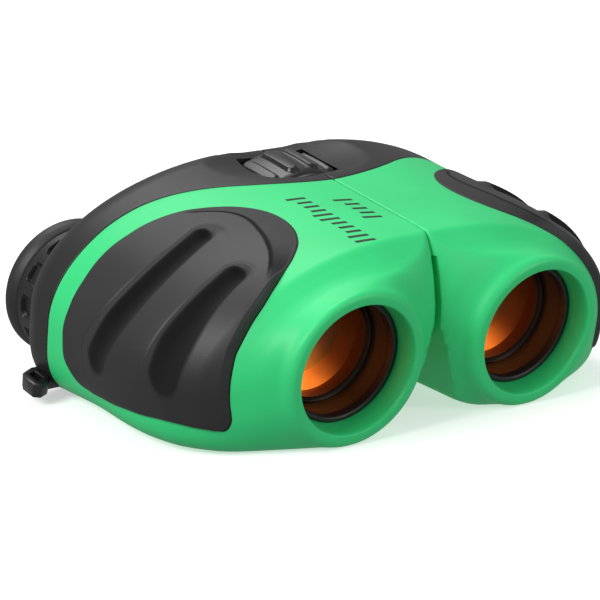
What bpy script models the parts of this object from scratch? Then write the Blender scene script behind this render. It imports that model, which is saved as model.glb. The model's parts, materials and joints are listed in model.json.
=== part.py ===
"""Compact folding binoculars, reverse-Porro, 8 power with 21 mm objectives.

Every shape is drawn in an optical frame in millimetres: the objectives look along -Y, the
front rims lie in the plane y = 0, the barrel axes lie in z = 0 and the hinge runs along Y at
x = 0.  Right and left are the user's own, so the right half is on the -X side.  The empty
named stance tips that frame up at the eyepieces by STANCE_TILT, as the object stands on a
table, and puts the middle of its underside on the world's origin.
"""
import math

import bmesh
import bpy
from mathutils import Matrix, Vector

MM = 0.001
GAP = 0.3                      # clearance between neighbouring pieces
CHAMFER = 0.4                  # blunted corners of the prisms
SIDES = {"right": -1, "left": 1}

# Stance and hinge
STANCE_TILT = math.radians(8.95)
HINGE_Z = 5.3
FOLD_HALF = math.radians(18.5)  # each half's share of the V under the hinge

# Barrels, lenses and eyepieces
BARREL_X = 22.4
BARREL_R = 16.2
MOUTH_R = 13.5
BORE_R = 13.0
FUNNEL_Y = 4.9
EYE_X = 36.5
EYE_Z = -12.9
EYE_TUBE_R = 10.4
EYE_RING_R = 14.6
EYE_RING_Y = (75.3, 81.3)
EYE_NECK_Y = (69.0, 75.0)
FINGER_NOTCHES = 12
NOTCH_DEPTH = 0.7
EYECUP_R = 15.4
EYECUP_END = 86.0

# Case
REAR_Y = 72.5
REAR_R = 10.0
CAVITY_Y = 9.0
WALL = 2.4
LUG_X = (50.5, 60.2)           # the lug's root sits in the wall, up to LUG_ROOT_X
LUG_Y = (59.8, 65.8)
LUG_Z = (-22.9, -18.4)
LUG_ROOT_X = 56.5
LUG_SLOT_X = (57.2, 58.9)
LUG_SLOT_Y = (61.3, 64.3)
RECESS = 1.0                   # depth of the seat that the grip lies in
GRIP_TILT = math.radians(40)   # the grip's outline is drawn square to this direction

# Focusing gear
WHEEL_R = 15.0
WHEEL_RIB = 0.6
WHEEL_RIBS = 18
WHEEL_Y = (51.0, 65.5)
WHEEL_ROOM = 0.7               # radial clearance of the wheel's well
SADDLE_Y = 60.0                # the saddle pressed into the housings around the wheel
SADDLE_DEPTH = 3.4
SADDLE_HALF_WIDTH = 21.0
SADDLE_HALF_LENGTH = 14.3
TUBE_R = 4.0
TUBE_BORE_R = 3.0
SCREW_R = 1.5
KNUCKLE_R = 6.5
KNUCKLES = {"right": ((9.5, 14.0), (39.3, 42.3)), "left": ((14.3, 19.0), (36.0, 39.0))}
# Room in each half for the other half's knuckles
KNUCKLE_ROOMS = {"right": ((14.15, 39.15),), "left": ((9.3, 14.15), (19.1, 35.9), (39.15, 47.0))}

# Prisms: two truncated roofs either side of a plate
PRISM_HALF = 6.8
FRONT_PRISM_Y = 40.6
REAR_PRISM_Y = 42.9
PRISM_SHOULDER = 0.7
WINDOW_R = 5.2

# Faceting
CASE_FACETS = 40
CAVITY_FACETS = 20
ROUND_FACETS = 24

# The case's outline across the barrels, as (distance behind the rims, value)
OUTER_SIDE = ((0, 38.6), (2, 39.3), (5.4, 43.4), (9.2, 48.2), (12, 50.8), (18, 54.4), (26, 56.3),
              (36, 57.0), (46, 57.1))
INNER_SIDE = ((0, 6.2), (2, 5.6), (3.6, 3.4), (5.4, 0.5), (7.4, 0.3))
TOP = ((0, 16.2), (3.6, 16.6), (5.4, 16.9), (7.4, 17.9), (9.2, 19.3), (12, 21.2))
INNER_TOP_R = ((0, 16.2), (3.6, 14.9), (5.4, 11.6), (7.4, 6.1), (9.2, 2.8), (12, 1.5))
OUTER_TOP_RX = ((0, 16.2), (2, 19), (5.4, 28), (9.2, 39), (12, 44.5), (18, 47), (26, 48.5), (36, 49))
OUTER_TOP_RZ = ((0, 16.2), (5.4, 20.5), (9.2, 25), (12, 28), (18, 29.5), (26, 30), (36, 29.5), (46, 28.6))
OUTER_BOTTOM_RX = ((0, 16.2), (5.4, 14), (12, 11.5), (48, 14))
OUTER_BOTTOM_RZ = ((0, 16.2), (5.4, 12), (12, 8.5), (26, 9.5), (48, 14))
OUTER_BOTTOM_POWER = ((0, 2.0), (5.4, 2.4), (12, 3.0), (48, 2.5))
INNER_BOTTOM_RX = ((0, 16.2), (5.4, 17), (12, 19), (30, 22), (48, 26))
INNER_BOTTOM_RZ = ((0, 16.2), (12, 14.5), (48, 17))

# Seen from above, the joint between front shell and rear housing, as (x, y)
PARTING = ((0, 42.8), (5.4, 43.4), (11.5, 44.8), (17.6, 47.4), (22.9, 50.5), (28.2, 53.4),
           (33.6, 55.8), (39.6, 57.4), (46, 58.0), (62, 58.0))

# The grip's outline in its own plane, as (y, distance up the flank)
GRIP_OUTLINE = ((51.5, -30.0), (51.5, -37.0), (51.8, -43.0), (51.0, -47.8), (47.5, -49.5), (41.5, -49.2),
                (35.0, -48.6), (28.0, -47.4), (21.0, -45.8), (15.0, -43.5), (10.5, -41.0), (8.4, -39.2),
                (7.7, -37.4), (8.0, -34.5), (8.6, -30.0), (9.4, -25.5), (10.2, -20.0), (11.3, -14.5),
                (13.5, -9.2), (16.8, -4.0), (20.5, -0.9), (24.5, 0.8), (29.0, 1.6), (34.5, 1.3),
                (39.5, -0.6), (44.0, -4.0), (47.5, -8.5), (50.0, -14.0), (51.2, -20.0), (51.7, -24.5))
GRIP_STATIONS = (6.0, 9.2, 12, 18, 26, 34, 42, 50, 58)
GRIP_REACH = (5, 75)           # how far the outline is raised along its own plane's normal
GRIP_PROUD = 0.7
GRIP_FOOT_Z = -12.5            # the grip stays on the flank, above the underside
GRIP_FOOT_TILT = math.radians(4.3)
# Grip ridges: middle, half-width and height, then the angles round the flank where they start and end
GRIP_RIDGES = ((38.0, 2.2, 2.6, 88, -18), (20.5, 2.8, 3.0, 68, -8))


# Turns a drawing in XY so that it lies across the barrels and is raised along Y
ACROSS_BARRELS = Matrix(((1, 0, 0, 0), (0, 0, 1, 0), (0, 1, 0, 0), (0, 0, 0, 1)))
# Turns a drawing in XY so that its X runs along the barrels, its Y upward, and it is raised along X
ALONG_BARRELS = Matrix(((0, 0, 1, 0), (1, 0, 0, 0), (0, 1, 0, 0), (0, 0, 0, 1)))


# ---------------------------------------------------------------- materials
def material(name, colour, roughness, metallic=0.0, transmission=0.0):
    made = bpy.data.materials.new(name)
    made.use_nodes = True
    shader = made.node_tree.nodes["Principled BSDF"]
    shader.inputs["Base Color"].default_value = (*colour, 1.0)
    shader.inputs["Roughness"].default_value = roughness
    shader.inputs["Metallic"].default_value = metallic
    shader.inputs["Transmission Weight"].default_value = transmission
    return made


# ---------------------------------------------------------------- the case's form
def smooth_value(points, y):
    """A smooth value between (station, value) points, without overshoot."""
    if y <= points[0][0]:
        return points[0][1]
    if y >= points[-1][0]:
        return points[-1][1]
    k = max(i for i in range(len(points) - 1) if points[i][0] <= y)

    def slope(i):
        if i in (0, len(points) - 1):
            return 0.0
        (a, p), (b, q), (c, r) = points[i - 1:i + 2]
        before, after = (q - p) / (b - a), (r - q) / (c - b)
        return 0.0 if before * after <= 0 else 2 * before * after / (before + after)

    (a, p), (b, q) = points[k], points[k + 1]
    width, t = b - a, (y - a) / (b - a)
    return ((2 * t**3 - 3 * t**2 + 1) * p + (t**3 - 2 * t**2 + t) * width * slope(k)
            + (3 * t**2 - 2 * t**3) * q + (t**3 - t**2) * width * slope(k + 1))


def inside_case(y, x, z, grow):
    """Whether (x, z) is within the left half's outline at station y, grown all round."""
    back = max(0.0, y - (REAR_Y - REAR_R))
    inset = REAR_R - math.sqrt(max(0.0, REAR_R**2 - back**2))
    inner = smooth_value(INNER_SIDE, y) - grow
    outer = smooth_value(OUTER_SIDE, y) - inset + grow
    top = smooth_value(TOP, y) - inset + grow
    bottom = -BARREL_R - math.tan(STANCE_TILT) * y + inset - grow
    if not (inner < x < outer and bottom < z < top):
        return False
    if x < GAP - grow + max(0.0, HINGE_Z - z) * math.tan(FOLD_HALF):
        return False

    def beyond(past_x, past_z, radius_x, radius_z, power=2.0):
        dx, dz = past_x + radius_x + grow, past_z + radius_z + grow
        return dx > 0 and dz > 0 and (dx / (radius_x + grow))**power + (dz / (radius_z + grow))**power > 1

    corner = max(2.6, smooth_value(INNER_TOP_R, y))
    return not (
        beyond(inner - x, z - top, corner, corner)
        or beyond(x - outer, z - top, smooth_value(OUTER_TOP_RX, y) - 0.9 * inset,
                  smooth_value(OUTER_TOP_RZ, y) - 0.8 * inset)
        or beyond(x - outer, bottom - z, smooth_value(OUTER_BOTTOM_RX, y) - 0.5 * inset,
                  smooth_value(OUTER_BOTTOM_RZ, y) - 0.5 * inset, smooth_value(OUTER_BOTTOM_POWER, y))
        or beyond(inner - x, bottom - z, smooth_value(INNER_BOTTOM_RX, y) - 0.5 * inset,
                  smooth_value(INNER_BOTTOM_RZ, y) - 0.5 * inset))


def case_point(y, angle, grow=0.0):
    """The point of the left half's skin seen from the section's middle at an angle."""
    t = min(1.0, y / 20)
    t = t * t * (3 - 2 * t)
    middle_x, middle_z = BARREL_X + 6 * t, -t
    near, far = 0.0, 70.0
    for _ in range(24):
        reach = (near + far) / 2
        if inside_case(y, middle_x + math.cos(angle) * reach, middle_z + math.sin(angle) * reach, grow):
            near = reach
        else:
            far = reach
    return Vector((middle_x + math.cos(angle) * near, y, middle_z + math.sin(angle) * near))


def case_loft(stations, facets, grow=0.0):
    """A closed loft through the case's sections; a station is y, or (y, extra growth)."""
    bm = bmesh.new()
    rings = []
    for station in stations:
        y, extra = station if isinstance(station, tuple) else (station, 0.0)
        angles = (2 * math.pi * i / facets - math.pi / 2 for i in range(facets))
        rings.append([bm.verts.new(case_point(y, angle, grow + extra)) for angle in angles])
    for front, back in zip(rings, rings[1:]):
        for i in range(facets):
            j = (i + 1) % facets
            bm.faces.new((front[i], back[i], back[j], front[j]))
    bm.faces.new(rings[0])
    bm.faces.new(reversed(rings[-1]))
    bmesh.ops.recalc_face_normals(bm, faces=bm.faces)
    return bm


# ---------------------------------------------------------------- scene helpers
def clear_scene():
    for old in list(bpy.data.objects):
        bpy.data.objects.remove(old, do_unlink=True)


def new_collection(name):
    made = bpy.data.collections.new(name)
    bpy.context.scene.collection.children.link(made)
    return made


def new_home(name, at, parent=None, parent_at=(0, 0, 0)):
    """An empty on a joint's axis; the pieces that move together hang from it."""
    home = bpy.data.objects.new(name, None)
    parts.objects.link(home)
    home.parent = parent
    home.location = (Vector(at) - Vector(parent_at)) * MM
    home["at"] = list(at)
    return home


def smooth_by_angle(mesh, degrees=35):
    mesh.shade_smooth()
    mesh.set_sharp_from_angle(angle=math.radians(degrees))


def place(name, bm, home, finish, side=1):
    """Makes a part from a mesh drawn in the optical frame, with its origin at its home."""
    if side < 0:
        bmesh.ops.scale(bm, vec=(-1, 1, 1), verts=bm.verts)
        bmesh.ops.reverse_faces(bm, faces=bm.faces)
    at = Vector(home["at"])
    bmesh.ops.translate(bm, vec=-at, verts=bm.verts)
    bmesh.ops.scale(bm, vec=(MM, MM, MM), verts=bm.verts)
    mesh = bpy.data.meshes.new(name)
    bm.to_mesh(mesh)
    bm.free()
    smooth_by_angle(mesh)
    piece = bpy.data.objects.new(name, mesh)
    (parts if finish else cutters).objects.link(piece)
    piece.parent = home
    if finish:
        mesh.materials.append(finish)
    else:
        piece.hide_render = True
        piece.display_type = "WIRE"
    return piece


def turned(name, profile, axis, home, finish, facets=ROUND_FACETS):
    """A turned piece about an axis along Y: profile is (radius, y), outer side first."""
    bm = bmesh.new()
    points = [bm.verts.new((radius * MM, 0, y * MM)) for radius, y in profile]
    pole = min(radius for radius, _ in profile) == 0
    for a, b in zip(points, points[1:] if pole else points[1:] + points[:1]):
        bm.edges.new((a, b))
    mesh = bpy.data.meshes.new(name)
    bm.to_mesh(mesh)
    bm.free()
    piece = bpy.data.objects.new(name, mesh)
    (parts if finish else cutters).objects.link(piece)
    piece.parent = home
    piece.location = (Vector((axis[0], 0, axis[1])) - Vector(home["at"])) * MM
    piece.rotation_euler = (-math.pi / 2, 0, 0)
    screw = piece.modifiers.new("turn", "SCREW")
    screw.steps = screw.render_steps = facets
    screw.use_merge_vertices = True
    screw.merge_threshold = 0.00001
    screw.use_smooth_shade = True
    weld = piece.modifiers.new("poles", "WELD")
    weld.merge_threshold = 0.00001
    if finish:
        mesh.materials.append(finish)
    else:
        piece.hide_render = True
        piece.display_type = "WIRE"
    return piece


def ring(name, outer, inner, y_range, axis, home, finish, facets=ROUND_FACETS):
    front, back = y_range
    return turned(name, ((outer, back), (outer, front), (inner, front), (inner, back)), axis, home, finish,
                  facets)


def rod(name, radius, y_range, axis, home, finish, facets=ROUND_FACETS):
    front, back = y_range
    bm = bmesh.new()
    bmesh.ops.create_cone(bm, cap_ends=True, segments=facets, radius1=radius, radius2=radius,
                          depth=back - front)
    bmesh.ops.rotate(bm, cent=(0, 0, 0), matrix=Matrix.Rotation(-math.pi / 2, 3, "X"), verts=bm.verts)
    bmesh.ops.translate(bm, vec=(axis[0], (front + back) / 2, axis[1]), verts=bm.verts)
    return place(name, bm, home, finish)


def outline_prism(points, near, far, matrix=None):
    """A prism on a flat outline in the XY plane, from z = near to z = far."""
    bm = bmesh.new()
    face = bm.faces.new([bm.verts.new((x, y, near)) for x, y in points])
    if face.normal.z > 0 or face.calc_area() == 0:
        face.normal_flip()
    raised = bmesh.ops.extrude_face_region(bm, geom=[face])
    top = [item for item in raised["geom"] if isinstance(item, bmesh.types.BMVert)]
    bmesh.ops.translate(bm, vec=(0, 0, far - near), verts=top)
    if matrix:
        bmesh.ops.transform(bm, matrix=matrix, verts=bm.verts)
    bmesh.ops.recalc_face_normals(bm, faces=bm.faces)
    return bm


def box(low, high, bevel=0.0):
    bm = bmesh.new()
    size = Vector(high) - Vector(low)
    bmesh.ops.create_cube(bm, size=1.0, matrix=Matrix.Translation((Vector(low) + Vector(high)) / 2)
                          @ Matrix.Diagonal((*size, 1.0)))
    if bevel:
        bmesh.ops.bevel(bm, geom=list(bm.edges), offset=bevel, segments=1, affect="EDGES", profile=0.5)
    return bm


def boolean(piece, other, operation="DIFFERENCE"):
    """Cuts or joins; the case's thin lofted walls lie too near each other for the EXACT solver."""
    made = piece.modifiers.new(other.name, "BOOLEAN")
    made.operation = operation
    lofted = any(word in piece.name for word in ("shell", "housing", "grip"))
    made.solver = "MANIFOLD" if lofted else "EXACT"
    made.object = other


# ---------------------------------------------------------------- case and grips
def parting_prism(shift, toward):
    """Everything behind (toward +1) or in front of (toward -1) the parting line."""
    inner_end, outer_end = -9, 64
    below, above = -45, 40
    line = [(x, smooth_value(PARTING, x) + shift) for x in range(0, 52, 4)]
    line = [(inner_end, line[0][1])] + line + [(outer_end, line[-1][1])]
    far = 100 if toward > 0 else -20
    return outline_prism(line + [(outer_end, far), (inner_end, far)], below, above)


def grip_plane():
    """Turns a drawing in XY (y along the barrel, distance up the flank) onto the grip's slope."""
    across = Vector((math.cos(GRIP_TILT), 0, math.sin(GRIP_TILT)))
    up = Vector((-math.sin(GRIP_TILT), 0, math.cos(GRIP_TILT)))
    return Matrix((Vector((0, 1, 0)), up, across)).transposed().to_4x4()


def grown_outline(points, by):
    """An outline run outward by a set distance, for one drawn clockwise or anticlockwise."""
    turn = sum(a[0] * b[1] - b[0] * a[1] for a, b in zip(points, points[1:] + points[:1]))
    sign = 1 if turn > 0 else -1
    grown = []
    for before, here, after in zip(points[-1:] + points[:-1], points, points[1:] + points[:1]):
        along = Vector((after[0] - before[0], after[1] - before[1])).normalized()
        grown.append((here[0] + sign * along.y * by, here[1] - sign * along.x * by))
    return grown


def grip_ridge(middle, half_width, height, start, end):
    """A crescent ridge round the flank: slices of a rounded hump, tapered at both ends."""
    slices = 9
    bm = bmesh.new()
    loops = []
    for i in range(slices):
        t = i / (slices - 1)
        angle = math.radians(start + (end - start) * t)
        swell = math.sin(math.pi * (0.08 + 0.84 * t))**0.6
        hump = ((-1.0, -0.3), (-0.75, 0.75), (-0.1, 1.0), (0.6, 0.7), (1.0, -0.3))
        loops.append([bm.verts.new(case_point(middle + across * half_width * swell, angle,
                                              max(-0.3, up * height * swell)))
                      for across, up in hump])
    for a, b in zip(loops, loops[1:]):
        for i in range(len(a)):
            j = (i + 1) % len(a)
            bm.faces.new((a[i], b[i], b[j], a[j]))
    bm.faces.new(loops[0])
    bm.faces.new(reversed(loops[-1]))
    bmesh.ops.recalc_face_normals(bm, faces=bm.faces)
    return bm


def make_grip(name, side, home):
    """The grip, a pad over the flank with two ridges; gives back the cutter of its seat."""
    grip = place(f"{name}_grip", case_loft(GRIP_STATIONS, CASE_FACETS, GRIP_PROUD), home, black_rubber, side)
    edge = place(f"{name}_grip_outline", outline_prism(GRIP_OUTLINE, *GRIP_REACH, grip_plane()), home, None,
                 side)
    boolean(grip, edge, "INTERSECT")
    below = box((20, -5, -60), (80, 90, GRIP_FOOT_Z))
    slope = Matrix.Rotation(-GRIP_FOOT_TILT, 3, "X")
    bmesh.ops.rotate(below, cent=(0, 0, 0), matrix=slope, verts=below.verts)
    belly = place(f"{name}_grip_belly", below, home, None, side)
    boolean(grip, belly)
    floor = place(f"{name}_grip_floor", case_loft((4, *GRIP_STATIONS, 60), CASE_FACETS, GAP - RECESS), home,
                  None, side)
    boolean(grip, floor)
    for number, ridge in enumerate(GRIP_RIDGES, 1):
        boolean(grip, place(f"{name}_grip_ridge_{number}", grip_ridge(*ridge), home, None, side), "UNION")
    seat = place(f"{name}_grip_seat", outline_prism(grown_outline(GRIP_OUTLINE, GAP), *GRIP_REACH,
                                                    grip_plane()), home, None, side)
    under = place(f"{name}_grip_under", case_loft((3, *GRIP_STATIONS, 61), CASE_FACETS, -RECESS), home,
                  None, side)
    boolean(seat, under)
    boolean(seat, belly)
    return seat


def make_front_shell(name, side, home):
    rim = ((0.0, -0.8), (0.4, -0.2), 1.2)
    stations = rim + (3.6, 5.4, 7.4, 9.2, 12, 16, 22, 30, 40, 50, 61)
    shell = place(f"{name}_front_shell", case_loft(stations, CASE_FACETS), home, green_plastic, side)
    axis = (side * BARREL_X, 0)
    cavity = place(f"{name}_front_cavity", case_loft((CAVITY_Y, 12, 18, 26, 40, 63), CAVITY_FACETS, -WALL),
                   home, None, side)
    boolean(shell, cavity)
    boolean(shell, place(f"{name}_parting_back", parting_prism(0, 1), home, None, side))
    throat = 1.5
    mouth = ((0, CAVITY_Y + 1), (BORE_R, CAVITY_Y + 1), (BORE_R, FUNNEL_Y),
             (MOUTH_R + (MOUTH_R - BORE_R) * throat / FUNNEL_Y, -throat), (0, -throat))
    boolean(shell, turned(f"{name}_mouth", mouth, axis, home, None, 32))
    boolean(shell, make_grip(name, side, home))
    hinge = (0, HINGE_Z)
    room_r = KNUCKLE_R + GAP + 0.1
    for number, y_range in enumerate(KNUCKLE_ROOMS[name], 1):
        boolean(shell, rod(f"{name}_hinge_room_{number}", room_r, y_range, hinge, home, None))
    for number, y_range in enumerate(KNUCKLES[name], 1):
        boolean(shell, rod(f"{name}_knuckle_{number}", KNUCKLE_R, y_range, hinge, home, None), "UNION")
    boolean(shell, rod(f"{name}_hinge_bore", TUBE_R + GAP, (8.7, 48.0), hinge, home, None))


def make_rear_housing(name, side, home):
    stations = (38, 46, 54, 62.5, 66.5, 69.5, 71.6, 72.5)
    housing = place(f"{name}_rear_housing", case_loft(stations, CASE_FACETS), home, black_plastic, side)
    cavity = place(f"{name}_rear_cavity", case_loft((36, 46, 62, 66.5, REAR_Y - WALL), CAVITY_FACETS, -WALL),
                   home, None, side)
    boolean(housing, cavity)
    boolean(housing, place(f"{name}_parting_front", parting_prism(GAP, -1), home, None, side))
    hinge = (0, HINGE_Z)
    front, back = WHEEL_Y
    wheel_room = (front - 1.2, back + 1.2)
    boolean(housing, rod(f"{name}_wheel_room", WHEEL_R + WHEEL_RIB + WHEEL_ROOM, wheel_room, hinge, home,
                         None, 32))
    boolean(housing, rod(f"{name}_tube_room", TUBE_R + 1.0, (40, front - 0.5), hinge, home, None, 22))
    boolean(housing, wheel_saddle(name, home))
    axis = (side * EYE_X, EYE_Z)
    boolean(housing, ring(f"{name}_neck", EYE_RING_R - 1.2, EYE_TUBE_R - 1, EYE_NECK_Y, axis, home, None),
            "UNION")
    boolean(housing, rod(f"{name}_neck_bore", EYE_TUBE_R + GAP, (56.0, 77.0), axis, home, None))
    pocket = box((LUG_X[0] - GAP, LUG_Y[0] - GAP, LUG_Z[0] - GAP),
                 (LUG_ROOT_X + GAP, LUG_Y[1] + GAP, LUG_Z[1] + GAP))
    boolean(housing, place(f"{name}_lug_pocket", pocket, home, None, side))


def wheel_saddle(name, home):
    """The shallow saddle that leads a fingertip to the wheel: the foot of a large, wide ball."""
    radius = (SADDLE_HALF_WIDTH**2 + SADDLE_DEPTH**2) / (2 * SADDLE_DEPTH)
    bm = bmesh.new()
    bmesh.ops.create_uvsphere(bm, u_segments=28, v_segments=60, radius=radius)
    bmesh.ops.scale(bm, vec=(1, SADDLE_HALF_LENGTH / SADDLE_HALF_WIDTH, 1), verts=bm.verts)
    bmesh.ops.translate(bm, vec=(0, SADDLE_Y, TOP[-1][1] - SADDLE_DEPTH + radius), verts=bm.verts)
    return place(f"{name}_wheel_saddle", bm, home, None)


def make_strap_lug(name, side, home):
    """The lug's root sits in the housing's lower corner; its eye stands out beside it."""
    lug = place(f"{name}_strap_lug", box(*zip(LUG_X, LUG_Y, LUG_Z)), home, black_gloss, side)
    slot = box((LUG_SLOT_X[0], LUG_SLOT_Y[0], LUG_Z[0] - 1), (LUG_SLOT_X[1], LUG_SLOT_Y[1], LUG_Z[1] + 1))
    boolean(lug, place(f"{name}_strap_slot", slot, home, None, side))


# ---------------------------------------------------------------- optics
def make_objective(name, side, half, slide):
    axis = (side * BARREL_X, 0)
    ring(f"{name}_barrel_ring", BORE_R - GAP, 11.8, (FUNNEL_Y, 7.0), axis, half, black_plastic, 32)
    ring(f"{name}_barrel_tube", BORE_R - GAP, 12.0, (7.3, 16.0), axis, half, black_plastic)
    cell = ((11.7, 19.5), (11.7, 12.5), (10.7, 12.5), (10.7, 17.4), (10.0, 17.4), (10.0, 19.5))
    turned(f"{name}_objective_cell", cell, axis, slide, black_plastic)
    ring(f"{name}_cell_ring", 11.4, 10.3, (11.4, 12.2), axis, slide, bare_metal)
    lens = ((0, 16.6), (6.0, 16.5), (10.4, 16.2), (10.4, 14.2), (7.4, 13.6), (3.7, 13.2), (0, 13.1))
    turned(f"{name}_objective_lens", lens, axis, slide, coated_glass)
    arm = ((5.6, 28.4), (5.6, 29.6), (10.0, 29.6), (10.0, 21.2), (13.4, 21.2), (13.4, 19.8), (8.6, 19.8),
           (8.6, 28.4))
    place(f"{name}_focus_arm", outline_prism(arm, HINGE_Z - 2, HINGE_Z + 2), slide, bare_metal, side)


def make_prisms(name, side, half):
    """The two prisms, the plate between them with its three windows, and the spring clip behind."""
    inner, outer = BARREL_X - 7, EYE_X + 7
    middle, reach = (inner + outer) / 2, (outer - inner) / 2 - CHAMFER
    base = REAR_PRISM_Y
    back = ((inner + CHAMFER, base), (inner + CHAMFER, base + PRISM_SHOULDER),
            (middle - PRISM_SHOULDER, base + reach), (middle + PRISM_SHOULDER, base + reach),
            (outer - CHAMFER, base + PRISM_SHOULDER), (outer - CHAMFER, base))
    place(f"{name}_rear_prism", outline_prism(back, -PRISM_HALF, PRISM_HALF), half, clear_glass, side)
    top, low = 6.5, EYE_Z - 6.5
    middle, reach = (top + low) / 2, (top - low) / 2 - CHAMFER
    base = FRONT_PRISM_Y
    front = ((base, low + CHAMFER), (base - PRISM_SHOULDER, low + CHAMFER),
             (base - reach, middle - PRISM_SHOULDER), (base - reach, middle + PRISM_SHOULDER),
             (base - PRISM_SHOULDER, top - CHAMFER), (base, top - CHAMFER))
    upright = outline_prism(front, EYE_X - PRISM_HALF, EYE_X + PRISM_HALF, ALONG_BARRELS)
    place(f"{name}_front_prism", upright, half, clear_glass, side)
    plate = ((9.5, 9.0), (13.0, 11.5), (38.0, 9.5), (46.5, 3.0), (46.5, -14.5), (42.0, -18.8),
             (25.0, -18.8), (14.5, -11.0))
    plate_mesh = outline_prism(plate, FRONT_PRISM_Y + GAP, REAR_PRISM_Y - GAP, ACROSS_BARRELS)
    frame = place(f"{name}_prism_frame", plate_mesh, half, black_plastic, side)
    windows = ((BARREL_X, 0), (EYE_X, 0), (EYE_X, EYE_Z))
    for number, (x, z) in enumerate(windows, 1):
        window = rod(f"{name}_prism_window_{number}", WINDOW_R, (38, 45), (side * x, z), half, None, 20)
        boolean(frame, window)
    strap = ((11.6, 43.5), (13.6, 43.5), (29.45, 58.4), (45.3, 43.5), (47.3, 43.5), (47.3, 42.9),
             (45.0, 42.9), (29.45, 57.5), (13.9, 42.9), (11.6, 42.9))
    place(f"{name}_prism_clip", outline_prism(strap, -2.0, 2.0), half, bare_metal, side)


def star_prism(axis, outer, inner, points_round, y_range):
    """A drum along Y whose rim steps between two radii, two facets at each."""
    facets_per_point = 4
    facets = points_round * facets_per_point
    points = []
    for i in range(facets):
        angle = 2 * math.pi * (i + 0.5) / facets
        radius = outer if i % facets_per_point < 2 else inner
        points.append((axis[0] + radius * math.cos(angle), axis[1] + radius * math.sin(angle)))
    return outline_prism(points, *y_range, ACROSS_BARRELS)


def make_eyepiece(name, side, half, turning, sliding):
    axis = (side * EYE_X, EYE_Z)
    ring(f"{name}_eyepiece_tube", EYE_TUBE_R, 9.5, (60.0, 81.0), axis, half, black_plastic)
    grip_name = "right_diopter_ring" if name == "right" else "left_eyepiece_ring"
    knob = place(grip_name, star_prism((EYE_X, EYE_Z), EYE_RING_R, EYE_RING_R - NOTCH_DEPTH, FINGER_NOTCHES,
                                       EYE_RING_Y), turning, black_plastic, side)
    boolean(knob, rod(f"{name}_ring_bore", EYE_TUBE_R + GAP, (70, 90), axis, turning, None))
    cup = ((EYECUP_R - 0.2, EYECUP_END - 0.5), (EYECUP_R, 85.0), (EYECUP_R, 82.4), (EYECUP_R - 0.6, 81.6),
           (9.2, 81.6), (9.2, 82.8), (12.4, 83.4), (13.2, EYECUP_END), (14.6, EYECUP_END))
    turned(f"{name}_eyecup", cup, axis, turning, black_rubber, 32)
    cell = ((9.2, 79.5), (9.2, 61.5), (7.0, 61.5), (7.0, 62.3), (8.0, 62.3), (8.0, 79.5))
    turned(f"{name}_eyepiece_cell", cell, axis, sliding, black_plastic)
    field = ((0, 65.4), (4.0, 65.1), (7.7, 64.0), (7.7, 62.6), (0, 62.6))
    turned(f"{name}_field_lens", field, axis, sliding, clear_glass, 20)
    eye = ((0, 78.4), (7.7, 78.4), (7.7, 76.4), (4.0, 75.2), (0, 74.9))
    turned(f"{name}_eye_lens", eye, axis, sliding, clear_glass, 20)


# ---------------------------------------------------------------- hinge and focusing gear
def make_focus_gear(half, turning, sliding):
    hinge = (0, HINGE_Z)
    tube = ring("hinge_tube", TUBE_R, TUBE_BORE_R, (9.6, 49.0), hinge, half, bare_metal)
    slot = box((-9, 24.0, HINGE_Z - 1.2), (9, 34.0, HINGE_Z + 1.2))
    boolean(tube, place("hinge_tube_slot", slot, half, None))
    ring("focus_bush", TUBE_BORE_R - GAP, SCREW_R + GAP, (44.0, 50.2), hinge, half, brass, 16)
    rod("focus_screw", SCREW_R, (16.0, 66.2), hinge, turning, bare_metal, 16)
    wheel = place("focus_wheel", star_prism(hinge, WHEEL_R + WHEEL_RIB, WHEEL_R, WHEEL_RIBS, WHEEL_Y),
                  turning, black_rubber)
    boolean(wheel, rod("focus_wheel_bore", SCREW_R + GAP, (48, 70), hinge, turning, None, 16))
    collar = ((6.4, 32.5), (6.4, 30.0), (5.2, 30.0), (5.2, 28.0), (6.4, 28.0), (6.4, 25.5), (4.3, 25.5),
              (4.3, 32.5))
    carriage = turned("focus_carriage", collar, hinge, sliding, brass)
    wings = box((-5.0, 28.1, HINGE_Z - 0.8), (5.0, 29.9, HINGE_Z + 0.8))
    boolean(carriage, place("carriage_wings", wings, sliding, None), "UNION")
    boolean(carriage, rod("carriage_nut", 2.7, (27.0, 31.0), hinge, sliding, None, 16), "UNION")
    boolean(carriage, rod("carriage_nut_bore", SCREW_R + GAP, (20, 40), hinge, sliding, None, 16))


def stand_on_origin(stance):
    """Moves the stance so that the whole object's box sits on z = 0, centred on the origin."""
    bpy.context.view_layer.update()
    graph = bpy.context.evaluated_depsgraph_get()
    corners = []
    for piece in parts.objects:
        if piece.type == "MESH":
            solid = piece.evaluated_get(graph)
            corners += [solid.matrix_world @ vert.co for vert in solid.data.vertices]
    low = Vector([min(c[i] for c in corners) for i in range(3)])
    high = Vector([max(c[i] for c in corners) for i in range(3)])
    stance.location -= Vector(((low.x + high.x) / 2, (low.y + high.y) / 2, low.z))


clear_scene()
parts = new_collection("compact_binoculars")
cutters = new_collection("cutters")

green_plastic = material("green_plastic", (0.03, 0.75, 0.22), 0.38)
black_plastic = material("black_plastic", (0.03, 0.03, 0.032), 0.5)
black_gloss = material("black_gloss", (0.02, 0.02, 0.022), 0.25)
black_rubber = material("black_rubber", (0.045, 0.045, 0.048), 0.65)
bare_metal = material("bare_metal", (0.55, 0.55, 0.57), 0.3, metallic=1.0)
brass = material("brass", (0.7, 0.52, 0.25), 0.35, metallic=1.0)
coated_glass = material("coated_glass", (0.9, 0.25, 0.06), 0.05, transmission=0.8)
clear_glass = material("clear_glass", (0.95, 0.97, 0.97), 0.02, transmission=1.0)

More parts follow.
